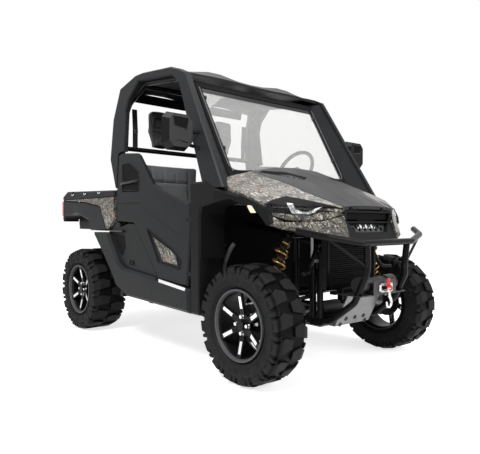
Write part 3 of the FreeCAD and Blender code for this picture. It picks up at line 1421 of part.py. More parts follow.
def make_sides():
    """Rockers, lower side panels and doors."""
    door_room = keep_out(side_points(DOOR_SHARES), DOOR_GAP, 0, HALF_WIDTH + SEAM)
    bed_room = keep_out(side_points(BED_SIDE_SHARES), BED_GAP, 0, HALF_WIDTH + SEAM)
    sill = side_slab(side_points(ROCKER_SHARES), HALF_WIDTH - ROCKER_THICKNESS, HALF_WIDTH)
    sill = bevelled(sill, PANEL_BEVEL * 2)
    sill = longest_solid(sill.cut(door_room).cut(bed_room).cut(tyre_sweep()))
    keep("rockers", both_sides(sill))

    rocker_room = keep_out(side_points(ROCKER_SHARES), SEAT_GAP, 0, HALF_WIDTH + SEAM)
    arch_room = keep_out(side_points(CAB_SIDE_SHARES), SEAT_GAP, 0, HALF_WIDTH)
    panel = side_panel(SIDE_PANEL_SHARES, SIDE_PANEL_Y, SIDE_PANEL_THICKNESS)
    for room in (door_room, bed_room, rocker_room, arch_room):
        panel = panel.cut(room)
    scoop = side_panel(SCOOP_SHARES, SIDE_PANEL_Y + OVERRUN, OVERRUN + HANDLE_DEPTH)
    keep("side_panels", both_sides(longest_solid(panel).cut(scoop)))

    door = door_shape()
    keep("door_left", door)
    keep("door_right", mirrored(door))


# Bed, bed trim, rear lamps and tailgate

BED_RAIL_SHARES = [
    (-0.240, 0.5477), (-0.240, 0.5740), (-0.689, 0.5850), (-0.735, 0.5640), (-0.735, 0.5477),
]
BED_TRIM_SHARES = [
    (-0.240, 0.5475), (-0.6975, 0.5475), (-0.7000, 0.5450), (-0.4985, 0.5350),
    (-0.3575, 0.5154), (-0.304, 0.4277), (-0.288, 0.4221), (-0.240, 0.4595),
]
BED_FLARE_SHARES = [
    (-0.735, 0.5475), (-0.702, 0.5475), (-0.7015, 0.5425), (-0.4985, 0.5325),
    (-0.359, 0.5128), (-0.3077, 0.4256), (-0.3067, 0.4165), (-0.4497, 0.4165),
    (-0.469, 0.459), (-0.591, 0.489), (-0.708, 0.474), (-0.735, 0.4513),
]
BED_ARCH_SHARES = [
    (-0.731, 0.454), (-0.708, 0.474), (-0.591, 0.489), (-0.469, 0.459), (-0.4497, 0.4165),
    (-0.3067, 0.4165),
]
RAIL_NOTCH_SHARES = [(-0.366, 0.568), (-0.499, 0.571), (-0.6225, 0.574)]
TAIL_LAMP_SHARES = [(-0.7365, 0.477), (-0.7365, 0.541), (-0.7245, 0.541), (-0.7245, 0.477)]


def bed_hinge():
    """The left bed hinge at the rear end of the frame's bed rail."""
    start = Vector(BED_PIVOT_X, BED_HINGE_Y - BED_HINGE_LENGTH / 2, BED_PIVOT_Z)
    end = start + Vector(0, BED_HINGE_LENGTH, 0)
    moving = Vector(0, 0, BED_FLOOR_Z + HINGE_GAP - BED_PIVOT_Z)
    fixed = Vector(BED_RAIL_REAR_X - BED_PIVOT_X + SEAM, 0, 0)
    return hinge(start, end, BED_HINGE_RADIUS, moving, fixed)


def tailgate_hinge():
    """The left tailgate hinge at the rear edge of the bed floor."""
    start = Vector(TAILGATE_PIVOT_X, TAILGATE_HINGE_Y - TAILGATE_HINGE_LENGTH / 2,
                   TAILGATE_PIVOT_Z)
    end = start + Vector(0, TAILGATE_HINGE_LENGTH, 0)
    moving = Vector(0, 0, TAILGATE_FOOT + TAILGATE_HINGE_RADIUS)
    fixed = Vector(BED_REAR_X - TAILGATE_PIVOT_X + TAILGATE_FOOT, 0,
                   BED_FLOOR_Z + BED_FLOOR_THICKNESS / 2 - TAILGATE_PIVOT_Z)
    return hinge(start, end, TAILGATE_HINGE_RADIUS, moving, fixed)


def make_bed():
    """Bed box, camouflage trim, flares, tail lamps and tailgate."""
    half = BED_HALF_WIDTH
    floor = block(BED_REAR_X, BED_FRONT_X, -half, half, BED_FLOOR_Z,
                  BED_FLOOR_Z + BED_FLOOR_THICKNESS)
    head = block(BED_FRONT_X - BED_WALL, BED_FRONT_X, -half, half, BED_FLOOR_Z, BED_TOP_Z)
    wall = block(BED_REAR_X, BED_FRONT_X, half - BED_WALL, half, BED_FLOOR_Z, BED_TOP_Z)
    rail = bevelled(side_slab(side_points(BED_RAIL_SHARES), half - SEAM, CAB_SIDE_Y), PANEL_BEVEL)
    for x_share, z_share in RAIL_NOTCH_SHARES:
        x = x_share * WHEELBASE
        rail = rail.cut(block(x - NOTCH_HALF, x + NOTCH_HALF, CAB_SIDE_Y - NOTCH_HALF * 2,
                              HALF_WIDTH, z_share * BODY_HEIGHT, BODY_HEIGHT))
    keep("bed_box", fused([floor, head, both_sides(wall), both_sides(rail),
                           both_sides(bed_hinge()[0])]
                          + [both_sides(leaf) for leaf in tailgate_hinge()[1]]))

    inner = CAB_SIDE_Y - BED_PANEL_THICKNESS
    trim = side_slab(side_points(BED_TRIM_SHARES), inner, CAB_SIDE_Y)
    keep("bed_trim", both_sides(trim))

    skin = bevelled(side_slab(side_points(BED_FLARE_SHARES), inner, CAB_SIDE_Y), PANEL_BEVEL)
    arch = side_points(BED_ARCH_SHARES)
    liner = side_slab(strip_outline(arch, LAMP_WALL), half + SEAT_GAP, inner)
    rear_x, _ = side_points(BED_FLARE_SHARES)[0]
    _, rear_top = side_points(BED_FLARE_SHARES)[0]
    _, rear_low = side_points(BED_FLARE_SHARES)[-1]
    rear = block(rear_x, rear_x + BED_PANEL_THICKNESS, half + SEAM, inner, rear_low, rear_top)
    lamp_inner = half + BED_PANEL_THICKNESS * 2
    lamp = side_slab(side_points(TAIL_LAMP_SHARES), lamp_inner, CAB_SIDE_Y + HINGE_GAP)
    lamp_room = keep_out(side_points(TAIL_LAMP_SHARES), SEAT_GAP, lamp_inner - SEAT_GAP, HALF_WIDTH)
    keep("bed_flares", both_sides(longest_solid(fused([skin, liner, rear]).cut(lamp_room))))
    keep("tail_lamps", both_sides(lamp))

    gate_half = half - BED_FLANGE
    low_z = TAILGATE_PIVOT_Z + TAILGATE_FOOT
    outer_x = TAILGATE_PIVOT_X - TAILGATE_THICKNESS / 2 - BED_FLANGE / 2
    gate = block(outer_x, outer_x + TAILGATE_THICKNESS, -gate_half, gate_half, low_z, BED_TOP_Z)
    rim = BED_PANEL_THICKNESS * 2
    pressed = block(outer_x, outer_x + FIELD_DEPTH, -gate_half + rim, gate_half - rim,
                    low_z + rim, BED_TOP_Z - rim)
    keep("tailgate", fused([gate.cut(pressed), both_sides(tailgate_hinge()[0])]))


# Cab interior

TUB_SHARES = [
    (-0.2318, 0.5770), (-0.2318, 0.3180), (-0.0564, 0.3180), (-0.0513, 0.1874),
    (0.2113, 0.1874), (0.2174, 0.4769), (0.2667, 0.5056),
]
DASH_SHARES = [
    (0.2205, 0.5205), (0.2236, 0.5897), (0.2667, 0.6190), (0.3282, 0.6041), (0.3538, 0.5641),
    (0.3538, 0.5436), (0.3077, 0.5333), (0.2872, 0.5308),
]
CUSHION_SHARES = [
    (-0.2180, 0.3244), (-0.0480, 0.3244), (-0.0460, 0.3600), (-0.0600, 0.3805),
    (-0.2180, 0.3805),
]
BACK_SHARES = [(-0.1487, 0.3807), (-0.1769, 0.6923), (-0.2154, 0.6923), (-0.1974, 0.3807)]


def headrest_shape():
    """A left headrest, wider at the head than at its foot, standing on the seat tube."""
    foot_z = SEAT_TUBE_Z + CROSS_TUBE_RADIUS + SEAT_GAP
    outline = [
        (SEAT_CENTRE_Y - HEADREST_FOOT_HALF, foot_z),
        (SEAT_CENTRE_Y + HEADREST_FOOT_HALF, foot_z),
        (SEAT_CENTRE_Y + HEADREST_HEAD_HALF, foot_z + HEADREST_HEIGHT / 2),
        (SEAT_CENTRE_Y + HEADREST_HEAD_HALF, foot_z + HEADREST_HEIGHT),
        (SEAT_CENTRE_Y - HEADREST_HEAD_HALF, foot_z + HEADREST_HEIGHT),
        (SEAT_CENTRE_Y - HEADREST_HEAD_HALF, foot_z + HEADREST_HEIGHT / 2),
    ]
    return front_slab(outline, SEAT_TUBE_X - HEADREST_THICKNESS / 2,
                      SEAT_TUBE_X + HEADREST_THICKNESS / 2)


def make_interior():
    """Cab tub, dashboard, seats and headrests."""
    tub = side_slab(strip_outline(side_points(TUB_SHARES), TUB_THICKNESS),
                    -TUB_HALF_WIDTH, TUB_HALF_WIDTH)
    keep("cab_tub", tub)
    dash = side_slab(side_points(DASH_SHARES), -DASH_HALF_WIDTH, DASH_HALF_WIDTH)
    keep("dashboard", dash.cut(column_shape(SEAT_GAP)))
    inner = SEAT_CENTRE_Y - SEAT_HALF_WIDTH
    outer = SEAT_CENTRE_Y + SEAT_HALF_WIDTH
    cushion = side_slab(side_points(CUSHION_SHARES), inner, outer)
    back = side_slab(side_points(BACK_SHARES), inner, outer)
    keep("seat_cushions", both_sides(cushion))
    keep("seat_backs", both_sides(back))
    keep("headrests", both_sides(headrest_shape()))


# Bumper, winch, skid plate, hitch receiver and mirrors

BUMPER_BAR_SHARES = [(0.631, 0.757, 0.433), (0.686, 0.612, 0.417), (0.7235, 0.325, 0.3985)]
BUMPER_UPRIGHT_SHARES = [
    (0.7225, 0.263, 0.3985), (0.7195, 0.243, 0.3280), (0.7170, 0.259, 0.2995),
    (0.6820, 0.263, 0.2255), (0.6050, 0.283, 0.1640), (0.5730, 0.2895, 0.1565),
]
SKID_SHARES = [(0.644, 0.2436), (0.596, 0.1460), (-0.308, 0.1460)]


def make_bumper():
    """A bumper of bent tube with a lower cross tube, the winch on its plate and the hook."""
    left = route_points(BUMPER_BAR_SHARES)
    right = [Vector(point.x, -point.y, point.z) for point in reversed(left)]
    bar = bent_tube(left + right, BUMPER_RADIUS, BUMPER_BEND)
    route = route_points(BUMPER_UPRIGHT_SHARES)
    upright = bent_tube(route, BUMPER_RADIUS, BUMPER_BEND)
    behind = block(0, LOWER_RAIL_FRONT_X + SEAT_GAP, 0, HALF_WIDTH, 0, BODY_HEIGHT)
    upright = upright.cut(behind)
    low = route[2]
    lower_bar = rod(low, Vector(low.x, -low.y, low.z), BUMPER_RADIUS)
    brace = rod(left[1], route[1], BRACE_RADIUS)
    bumper = fused([bar, upright, mirrored(upright), lower_bar, both_sides(brace)])
    keep("front_bumper", bumper)

    grown = bent_tube(route, BUMPER_RADIUS + SEAT_GAP, BUMPER_BEND)
    plate = block(WINCH_X - WINCH_MOTOR_RADIUS * 2, FAIRLEAD_X, -RAIL_Y, RAIL_Y,
                  WINCH_PLATE_Z, WINCH_PLATE_Z + SKID_THICKNESS)
    plate = longest_solid(plate.cut(grown).cut(mirrored(grown)))
    drum_start = Vector(WINCH_X, -WINCH_DRUM_HALF, WINCH_Z)
    drum_end = Vector(WINCH_X, WINCH_DRUM_HALF, WINCH_Z)
    drum = rod(drum_start, drum_end, WINCH_DRUM_RADIUS)
    ends = both_sides(rod(drum_end, Vector(WINCH_X, WINCH_HALF, WINCH_Z), WINCH_MOTOR_RADIUS))
    foot_x = WINCH_MOTOR_RADIUS / 2
    feet = both_sides(block(WINCH_X - foot_x, WINCH_X + foot_x, WINCH_DRUM_HALF, WINCH_HALF,
                            WINCH_PLATE_Z, WINCH_Z))
    flange_end = FAIRLEAD_X + SKID_THICKNESS
    flange = block(FAIRLEAD_X, flange_end, -FAIRLEAD_HALF, FAIRLEAD_HALF,
                   WINCH_PLATE_Z, WINCH_PLATE_Z + FAIRLEAD_HEIGHT)
    window_half = FAIRLEAD_HALF / 2
    middle_z = WINCH_PLATE_Z + FAIRLEAD_HEIGHT / 2
    window = block(FAIRLEAD_X, flange_end, -window_half, window_half,
                   middle_z - ROLLER_RADIUS, middle_z + ROLLER_RADIUS)
    roller_x = flange_end + ROLLER_RADIUS / 2
    rollers = []
    for side in (-1, 1):
        across_z = middle_z + side * ROLLER_RADIUS * 2
        rollers.append(rod(Vector(roller_x, -window_half, across_z),
                           Vector(roller_x, window_half, across_z), ROLLER_RADIUS))
        rollers.append(rod(Vector(roller_x, side * window_half, across_z - side * ROLLER_RADIUS * 4),
                           Vector(roller_x, side * window_half, across_z), ROLLER_RADIUS))
    rope_end = FRONT_END_X - HOOK_RADIUS * 2
    rope = rod(Vector(WINCH_X, 0, middle_z), Vector(rope_end, 0, middle_z), ROPE_RADIUS)
    hook = Part.makeTorus(HOOK_RADIUS - ROPE_RADIUS, ROPE_RADIUS,
                          Vector(FRONT_END_X - HOOK_RADIUS, 0, middle_z), Vector(0, 1, 0))
    keep("winch", fused([plate, drum, ends, feet, flange.cut(window)] + rollers + [rope, hook]))


def make_fittings():
    """Skid plate, hitch receiver and mirrors."""
    line = side_points(SKID_SHARES)
    outline = strip_outline(line, SKID_THICKNESS)
    wide = RAIL_Y + BAR / 2
    bend_x, _ = line[1]
    whole = side_slab(outline, -wide, wide)
    nose_room = block(bend_x - BAR, WHEELBASE, SKID_NOSE_HALF_WIDTH, HALF_WIDTH, 0, BODY_HEIGHT)
    keep("skid_plate", whole.cut(nose_room).cut(mirrored(nose_room)))

    half = RECEIVER_INSIDE / 2 + RECEIVER_WALL
    start_x = LOWER_RAIL_REAR_X - SEAT_GAP
    tube = block(REAR_END_X, start_x, -half, half, RAIL_Z - half, RAIL_Z + half)
    inside = RECEIVER_INSIDE / 2
    hole = block(REAR_END_X, start_x - RECEIVER_WALL, -inside, inside,
                 RAIL_Z - inside, RAIL_Z + inside)
    pin_x = REAR_END_X + RECEIVER_INSIDE
    pin = rod(Vector(pin_x, -half, RAIL_Z), Vector(pin_x, half, RAIL_Z), RECEIVER_PIN_RADIUS)
    keep("hitch_receiver", tube.cut(hole).cut(pin))

    sections = []
    for x, taper in ((MIRROR_X, 0), (MIRROR_X + MIRROR_DEPTH, MIRROR_TAPER)):
        inner, outer = MIRROR_INNER_Y + taper, MIRROR_OUTER_Y - taper
        low, high = MIRROR_LOW_Z + taper, MIRROR_HIGH_Z - taper
        bevel = MIRROR_BEVEL
        outline = [
            (inner + bevel, low), (outer - bevel, low), (outer, low + bevel),
            (outer, high - bevel), (outer - bevel, high), (inner + bevel, high),
            (inner, high - bevel), (inner, low + bevel),
        ]
        sections.append([Vector(x, y, z) for y, z in outline])
    housing = loft(sections)
    root = Vector(MIRROR_X + MIRROR_DEPTH, side_y(MIRROR_ARM_Z, CAB_SIDE_Y) - OVERRUN, MIRROR_ARM_Z)
    tip = Vector(MIRROR_X + MIRROR_DEPTH / 2, MIRROR_INNER_Y + OVERRUN, MIRROR_ARM_Z)
    arm = rod(root, tip, MIRROR_ARM_RADIUS)
    side = PIECES["cab_side_left"].copy()
    side.translate(Vector(0, SEAT_GAP, 0))
    arm = max(arm.cut(side).Solids, key=lambda solid: solid.CenterOfMass.y)
    keep("mirrors", both_sides(fused([housing, arm])))


make_wheels()
make_suspension()
make_frame()
make_shocks()
make_driveline()
make_steering()
make_cab()
make_nose()
make_sides()
make_bed()
make_interior()
make_bumper()
make_fittings()

os.makedirs("parts", exist_ok=True)
for piece_name, piece_shape in PIECES.items():
    piece_shape.exportStep(f"parts/{piece_name}.step")
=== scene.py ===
import bmesh
import bpy
import math
from mathutils import Matrix, Vector
from mathutils.bvhtree import BVHTree


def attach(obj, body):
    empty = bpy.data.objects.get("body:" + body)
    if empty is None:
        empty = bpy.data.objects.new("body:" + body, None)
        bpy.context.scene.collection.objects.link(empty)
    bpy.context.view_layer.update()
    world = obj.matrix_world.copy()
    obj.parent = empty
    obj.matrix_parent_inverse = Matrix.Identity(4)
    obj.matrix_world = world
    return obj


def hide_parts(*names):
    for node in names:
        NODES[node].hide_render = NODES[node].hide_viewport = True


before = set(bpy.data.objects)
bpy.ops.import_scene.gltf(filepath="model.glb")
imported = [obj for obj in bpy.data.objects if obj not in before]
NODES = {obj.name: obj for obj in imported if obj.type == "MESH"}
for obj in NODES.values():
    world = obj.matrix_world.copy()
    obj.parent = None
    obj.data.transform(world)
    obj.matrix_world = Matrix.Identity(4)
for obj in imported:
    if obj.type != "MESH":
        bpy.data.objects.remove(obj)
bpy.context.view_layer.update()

# A two-seat side by side utility vehicle, dressed over its solid model. Lengths are in metres.
# +X is forward, +Y is the driver's side and +Z is up. Outlines are lists of points.

AXLE_X = 0.975
WHEEL_RADIUS = 0.330
TRACK_HALF = {"front": 0.650, "rear": 0.665}
MIDDLE_TRACK = 0.6575


# ---- Camera, floor and light

def look_from(place, heading, dip, roll, lens):
    """The photograph's camera, from its place and its three turns in degrees."""
    heading, dip, roll = (math.radians(turn) for turn in (heading, dip, roll))
    ahead = Vector((math.cos(dip) * math.cos(heading), math.cos(dip) * math.sin(heading),
                    -math.sin(dip)))
    right = Vector((math.sin(heading), -math.cos(heading), 0))
    up = right.cross(ahead)
    side = right * math.cos(roll) + up * math.sin(roll)
    top = up * math.cos(roll) - right * math.sin(roll)
    data = bpy.data.cameras.new("studio_camera")
    data.sensor_width = 36
    data.sensor_fit = "HORIZONTAL"
    data.lens = lens
    data.clip_end = 200
    camera = bpy.data.objects.new("studio_camera", data)
    camera.matrix_world = Matrix((
        (side.x, top.x, -ahead.x, place[0]), (side.y, top.y, -ahead.y, place[1]),
        (side.z, top.z, -ahead.z, place[2]), (0, 0, 0, 1)))
    bpy.context.scene.collection.objects.link(camera)
    bpy.context.scene.camera = camera


def soft_lamp(name, place, aim, size, watts):
    """A square studio lamp that points at a spot."""
    data = bpy.data.lights.new(name, "AREA")
    data.shape = "RECTANGLE"
    data.size, data.size_y = size
    data.energy = watts
    lamp = bpy.data.objects.new(name, data)
    lamp.location = place
    lamp.rotation_euler = (Vector(aim) - Vector(place)).to_track_quat("-Z", "Y").to_euler()
    bpy.context.scene.collection.objects.link(lamp)


def seen_background(wires):
    """1 for the rays that should meet a white background, 0 for those that light the object."""
    path = wires.node("ShaderNodeLightPath")
    seen = wires.math("MAXIMUM", path.outputs["Is Camera Ray"], path.outputs["Is Glossy Ray"])
    return wires.math("MAXIMUM", seen, path.outputs["Is Transmission Ray"])


class Wires:
    """Adds nodes to one node tree and links them."""

    def __init__(self, tree):
        self.tree = tree

    def node(self, kind, feeds=None, **settings):
        made = self.tree.nodes.new(kind)
        for name, value in settings.items():
            setattr(made, name, value)
        for name, value in (feeds or {}).items():
            self.feed(made.inputs[name], value)
        return made

    def feed(self, socket, value):
        if isinstance(value, bpy.types.NodeSocket):
            self.tree.links.new(value, socket)
        elif value is not None:
            socket.default_value = value

    def math(self, operation, *values, clamp=False):
        made = self.node("ShaderNodeMath", operation=operation, use_clamp=clamp)
        for socket, value in zip(made.inputs, values):
            self.feed(socket, value)
        return made.outputs[0]

    def times(self, first, second):
        return self.math("MULTIPLY", first, second)

    def vector(self, operation, *values):
        made = self.node("ShaderNodeVectorMath", operation=operation)
        for socket, value in zip(made.inputs, values):
            self.feed(socket, value)
        return made.outputs["Value" if operation in ("LENGTH", "DOT_PRODUCT") else "Vector"]

    def split(self, vector):
        return self.node("ShaderNodeSeparateXYZ", {"Vector": vector}).outputs

    def join(self, x, y, z):
        return self.node("ShaderNodeCombineXYZ", {"X": x, "Y": y, "Z": z}).outputs[0]

    def blend(self, share, first, second):
        made = self.node("ShaderNodeMix", data_type="RGBA")
        self.feed(made.inputs[0], share)
        for socket, value in ((made.inputs[6], first), (made.inputs[7], second)):
            self.feed(socket, (*value, 1) if isinstance(value, tuple) else value)
        return made.outputs[2]

    def between(self, share, first, second):
        made = self.node("ShaderNodeMix", data_type="FLOAT")
        for socket, value in zip((made.inputs[0], made.inputs[2], made.inputs[3]),
                                 (share, first, second)):
            self.feed(socket, value)
        return made.outputs[0]

    def step(self, value, low, high, start=0.0, end=1.0):
        made = self.node("ShaderNodeMapRange", interpolation_type="SMOOTHSTEP")
        for name, number in (("Value", value), ("From Min", low), ("From Max", high),
                             ("To Min", start), ("To Max", end)):
            self.feed(made.inputs[name], number)
        return made.outputs[0]

    def band(self, value, rise, fall):
        """One between two ramps, of which the first rises and the second falls."""
        return self.times(self.step(value, *rise), self.step(value, *fall))

    def noise(self, place, scale, detail=3.0, rough=0.55, warp=0.0):
        made = self.node("ShaderNodeTexNoise", {
            "Vector": place, "Scale": scale, "Detail": detail, "Roughness": rough,
            "Distortion": warp})
        return made.outputs[0]

    def cells(self, place, scale, feature="F1", result="Distance", spread=1.0):
        made = self.node("ShaderNodeTexVoronoi", {
            "Vector": place, "Scale": scale, "Randomness": spread}, feature=feature)
        return made.outputs[result]


# ---- Effects that several finishes share

EFFECTS = {}


def effect(name, inputs, outputs, build):
    """A shader node group with named inputs and outputs."""
    tree = bpy.data.node_groups.new(name, "ShaderNodeTree")
    kinds = {"c": "NodeSocketColor", "v": "NodeSocketVector", "f": "NodeSocketFloat"}
    for label, kind, value in inputs:
        socket = tree.interface.new_socket(label, in_out="INPUT", socket_type=kinds[kind])
        socket.default_value = value
    for label, kind in outputs:
        tree.interface.new_socket(label, in_out="OUTPUT", socket_type=kinds[kind])
    start = tree.nodes.new("NodeGroupInput")
    end = tree.nodes.new("NodeGroupOutput")
    wires = Wires(tree)
    for label, socket in build(wires, start.outputs).items():
        tree.links.new(socket, end.inputs[label])
    EFFECTS[name] = tree


ORIGIN = (0.0, 0.0, 0.0)


def moulded_grain(wires, given):
    """Fine leather-like pebbles of moulded plastic, with slow patches of tone and gloss."""
    pebbles = wires.cells(given["Place"], given["Scale"], feature="SMOOTH_F1")
    fine = wires.noise(given["Place"], wires.times(given["Scale"], 2.7), 2.0)
    patch = wires.noise(given["Place"], 3.1, 4.0, 0.6)
    height = wires.math("MULTIPLY_ADD", fine, 0.4, pebbles)
    tone = wires.between(wires.step(patch, 0.3, 0.7), 0.86, 1.14)
    grain = wires.between(fine, 0.93, 1.07)
    return {"Height": height, "Tone": wires.times(tone, grain),
            "Gloss": wires.step(patch, 0.25, 0.75, -0.05, 0.06)}


def settled_dust(wires, given):
    """Dust and splashes that thin out upward from the ground, in speckles."""
    high = wires.split(given["Place"])["Z"]
    low = wires.step(high, given["Top"], 0.0)
    drift = wires.noise(given["Place"], 9.0, 5.0, 0.65)
    speckle = wires.noise(given["Place"], 160.0, 2.0)
    mask = wires.times(low, wires.step(drift, 0.35, 0.72))
    mask = wires.times(mask, wires.step(speckle, 0.30, 0.62))
    return {"Mask": wires.times(mask, given["Amount"])}


def fine_scratches(wires, given):
    """Short hairlines that run mostly one way."""
    long_way = wires.vector("MULTIPLY", given["Place"], (14.0, 90.0, 320.0))
    cross = wires.vector("MULTIPLY", given["Place"], (300.0, 120.0, 18.0))
    first = wires.step(wires.noise(long_way, 1.0, 3.0), 0.60, 0.76)
    second = wires.step(wires.noise(cross, 1.0, 3.0), 0.62, 0.78)
    both = wires.math("MAXIMUM", first, second)
    patches = wires.step(wires.noise(given["Place"], 5.0), 0.45, 0.62)
    return {"Mask": wires.times(both, patches)}


def camouflage(wires, given):
    """A printed pattern of pale bark, grey brush, dark twigs and a few orange leaves."""
    place = given["Place"]
    bent = wires.vector("MULTIPLY_ADD", wires.node(
        "ShaderNodeTexNoise", {"Vector": place, "Scale": 22.0, "Detail": 3.0}).outputs["Color"],
        (0.03, 0.03, 0.03), place)
    clouds = wires.noise(bent, 17.0, 6.0, 0.68, 0.6)
    leaning = [wires.node("ShaderNodeVectorRotate", {
        "Vector": bent, "Axis": (0.1, 1.0, 0.2), "Angle": turn},
        rotation_type="AXIS_ANGLE").outputs[0] for turn in (0.95, -0.75, 0.10)]
    brush = wires.noise(wires.vector("MULTIPLY", leaning[0], (19.0, 104.0, 124.0)), 1.0, 5.0, 0.6,
                        0.4)
    grass = wires.noise(wires.vector("MULTIPLY", leaning[1], (15.0, 116.0, 136.0)), 1.0, 5.0, 0.6,
                        0.5)
    straw = wires.noise(wires.vector("MULTIPLY", leaning[2], (17.0, 128.0, 150.0)), 1.0, 4.0,
                        0.55, 0.4)
    stands = wires.noise(bent, 9.0, 3.0)
    color = wires.blend(wires.step(clouds, 0.38, 0.66), (0.022, 0.020, 0.016),
                        (0.115, 0.105, 0.084))
    color = wires.blend(wires.step(brush, 0.50, 0.56), color, (0.010, 0.009, 0.007))
    tan = wires.noise(bent, 15.0, 3.0, 0.6, 0.4)
    color = wires.blend(wires.times(wires.step(tan, 0.52, 0.64),
                                   wires.step(brush, 0.48, 0.44)), color, (0.150, 0.082, 0.034))
    pale = wires.times(wires.step(grass, 0.53, 0.58), wires.step(stands, 0.36, 0.52))
    color = wires.blend(pale, color, (0.37, 0.355, 0.31))
    light = wires.times(wires.step(straw, 0.57, 0.61), wires.step(stands, 0.62, 0.46))
    color = wires.blend(light, color, (0.30, 0.28, 0.23))
    for turn, scale, width in ((0.5, 9.0, 0.035), (-0.8, 13.0, 0.045), (1.35, 20.0, 0.05)):
        turned = wires.node("ShaderNodeVectorRotate", {
            "Vector": bent, "Axis": (0.2, 1.0, 0.3), "Angle": turn},
            rotation_type="AXIS_ANGLE").outputs[0]
        long_cells = wires.vector("MULTIPLY", turned, (0.30, 1.0, 1.25))
        edge = wires.cells(long_cells, scale, "DISTANCE_TO_EDGE")
        keep = wires.step(wires.noise(place, scale * 0.9, 2.0), 0.40, 0.52)
        twig = wires.times(wires.step(edge, width, width * 0.35), keep)
        color = wires.blend(twig, color, (0.020, 0.018, 0.016))
    spots = wires.cells(bent, 30.0, "F1")
    pick = wires.node("ShaderNodeTexVoronoi", {"Vector": bent, "Scale": 30.0}).outputs["Color"]
    chosen = wires.times(wires.step(wires.split(pick)["X"], 0.80, 0.82),
                         wires.step(brush, 0.47, 0.51))
    leaf = wires.times(chosen, wires.step(spots, 0.40, 0.30))
    color = wires.blend(leaf, color, (0.38, 0.095, 0.020))
    return {"Color": color}


def box_zone(wires, given):
    """1 inside a box of space, 0 outside."""
    over = wires.split(wires.vector("SUBTRACT", given["Place"], given["Low"]))
    under = wires.split(wires.vector("SUBTRACT", given["High"], given["Place"]))
    least = wires.math("MINIMUM", over["X"], under["X"])
    for axis in ("Y", "Z"):
        least = wires.math("MINIMUM", least, wires.math("MINIMUM", over[axis], under[axis]))
    return {"Mask": wires.math("GREATER_THAN", least, 0.0)}


def about_the_axle(wires, given):
    """Distance from the nearest axle's line and turn about it, alike for all four wheels."""
    parts = wires.split(given["Place"])
    along = wires.math("SUBTRACT", wires.math("ABSOLUTE", parts["X"]), AXLE_X)
    rise = wires.math("SUBTRACT", parts["Z"], WHEEL_RADIUS)
    radius = wires.math("POWER", wires.math("ADD", wires.times(along, along),
                                            wires.times(rise, rise)), 0.5)
    return {"Radius": radius, "Turn": wires.math("ARCTAN2", along, rise),
            "Across": wires.math("ABSOLUTE", parts["Y"])}


def woven_cloth(wires, given):
    """Crossing threads of a coarse seat cover."""
    waves = []
    for turn in (0.0, 1.5708):
        turned = wires.node("ShaderNodeVectorRotate", {
            "Vector": given["Place"], "Angle": turn}, rotation_type="X_AXIS").outputs[0]
        waves.append(wires.node("ShaderNodeTexWave", {
            "Vector": turned, "Scale": given["Scale"], "Distortion": 0.6, "Detail": 1.0},
            bands_direction="Z").outputs[1])
    height = wires.times(waves[0], waves[1])
    wear = wires.noise(given["Place"], 12.0, 4.0)
    return {"Height": height, "Tone": wires.times(wires.between(height, 0.80, 1.15),
                                                  wires.between(wear, 0.85, 1.12))}


effect("moulded_grain", [("Place", "v", ORIGIN), ("Scale", "f", 900.0)],
       [("Height", "f"), ("Tone", "f"), ("Gloss", "f")], moulded_grain)
effect("settled_dust", [("Place", "v", ORIGIN), ("Top", "f", 0.6), ("Amount", "f", 0.3)],
       [("Mask", "f")], settled_dust)
effect("fine_scratches", [("Place", "v", ORIGIN)], [("Mask", "f")], fine_scratches)
effect("camouflage", [("Place", "v", ORIGIN)], [("Color", "c")], camouflage)
effect("box_zone", [("Place", "v", ORIGIN), ("Low", "v", ORIGIN), ("High", "v", ORIGIN)],
       [("Mask", "f")], box_zone)
effect("about_the_axle", [("Place", "v", ORIGIN)],
       [("Radius", "f"), ("Turn", "f"), ("Across", "f")], about_the_axle)
effect("woven_cloth", [("Place", "v", ORIGIN), ("Scale", "f", 300.0)],
       [("Height", "f"), ("Tone", "f")], woven_cloth)


# ---- Finishes

DUST = (0.11, 0.095, 0.078)


class Finish(Wires):
    """One material under way: its shader, its place in the object's frame, its effects and
    the slot that its pieces go into."""

    def __init__(self, name, slot=None, **plain):
        self.slot = slot
        self.material = bpy.data.materials.new(name)
        self.material.use_nodes = True
        Wires.__init__(self, self.material.node_tree)
        self.shader = self.tree.nodes["Principled BSDF"]
        self.place = self.node("ShaderNodeTexCoord").outputs["Object"]
        for label, value in plain.items():
            self.shader.inputs[label.replace("_", " ")].default_value = value

    def use(self, name, **values):
        made = self.node("ShaderNodeGroup", node_tree=EFFECTS[name])
        self.feed(made.inputs["Place"], self.place)
        for label, value in values.items():
            self.feed(made.inputs[label], value)
        return made.outputs

    def zone(self, low, high):
        return self.use("box_zone", Low=low, High=high)["Mask"]

    def color(self, value):
        self.feed(self.shader.inputs["Base Color"], value)

    def dusted(self, tone, top, amount):
        """A colour under dust that settles below one height."""
        return self.blend(self.use("settled_dust", Top=top, Amount=amount)["Mask"], tone, DUST)

    def rough(self, value):
        self.feed(self.shader.inputs["Roughness"], value)

    def relief(self, height, depth, first=None):
        made = self.node("ShaderNodeBump", {"Height": height, "Distance": depth, "Strength": 1.0})
        if first is not None:
            self.feed(made.inputs["Normal"], first)
        self.feed(self.shader.inputs["Normal"], made.outputs[0])
        return made.outputs[0]

    def tinted(self, tone, color):
        """A colour made lighter or darker by a tone."""
        return self.node("ShaderNodeVectorMath", {0: color, 1: self.join(tone, tone, tone)},
                         operation="MULTIPLY").outputs[0]


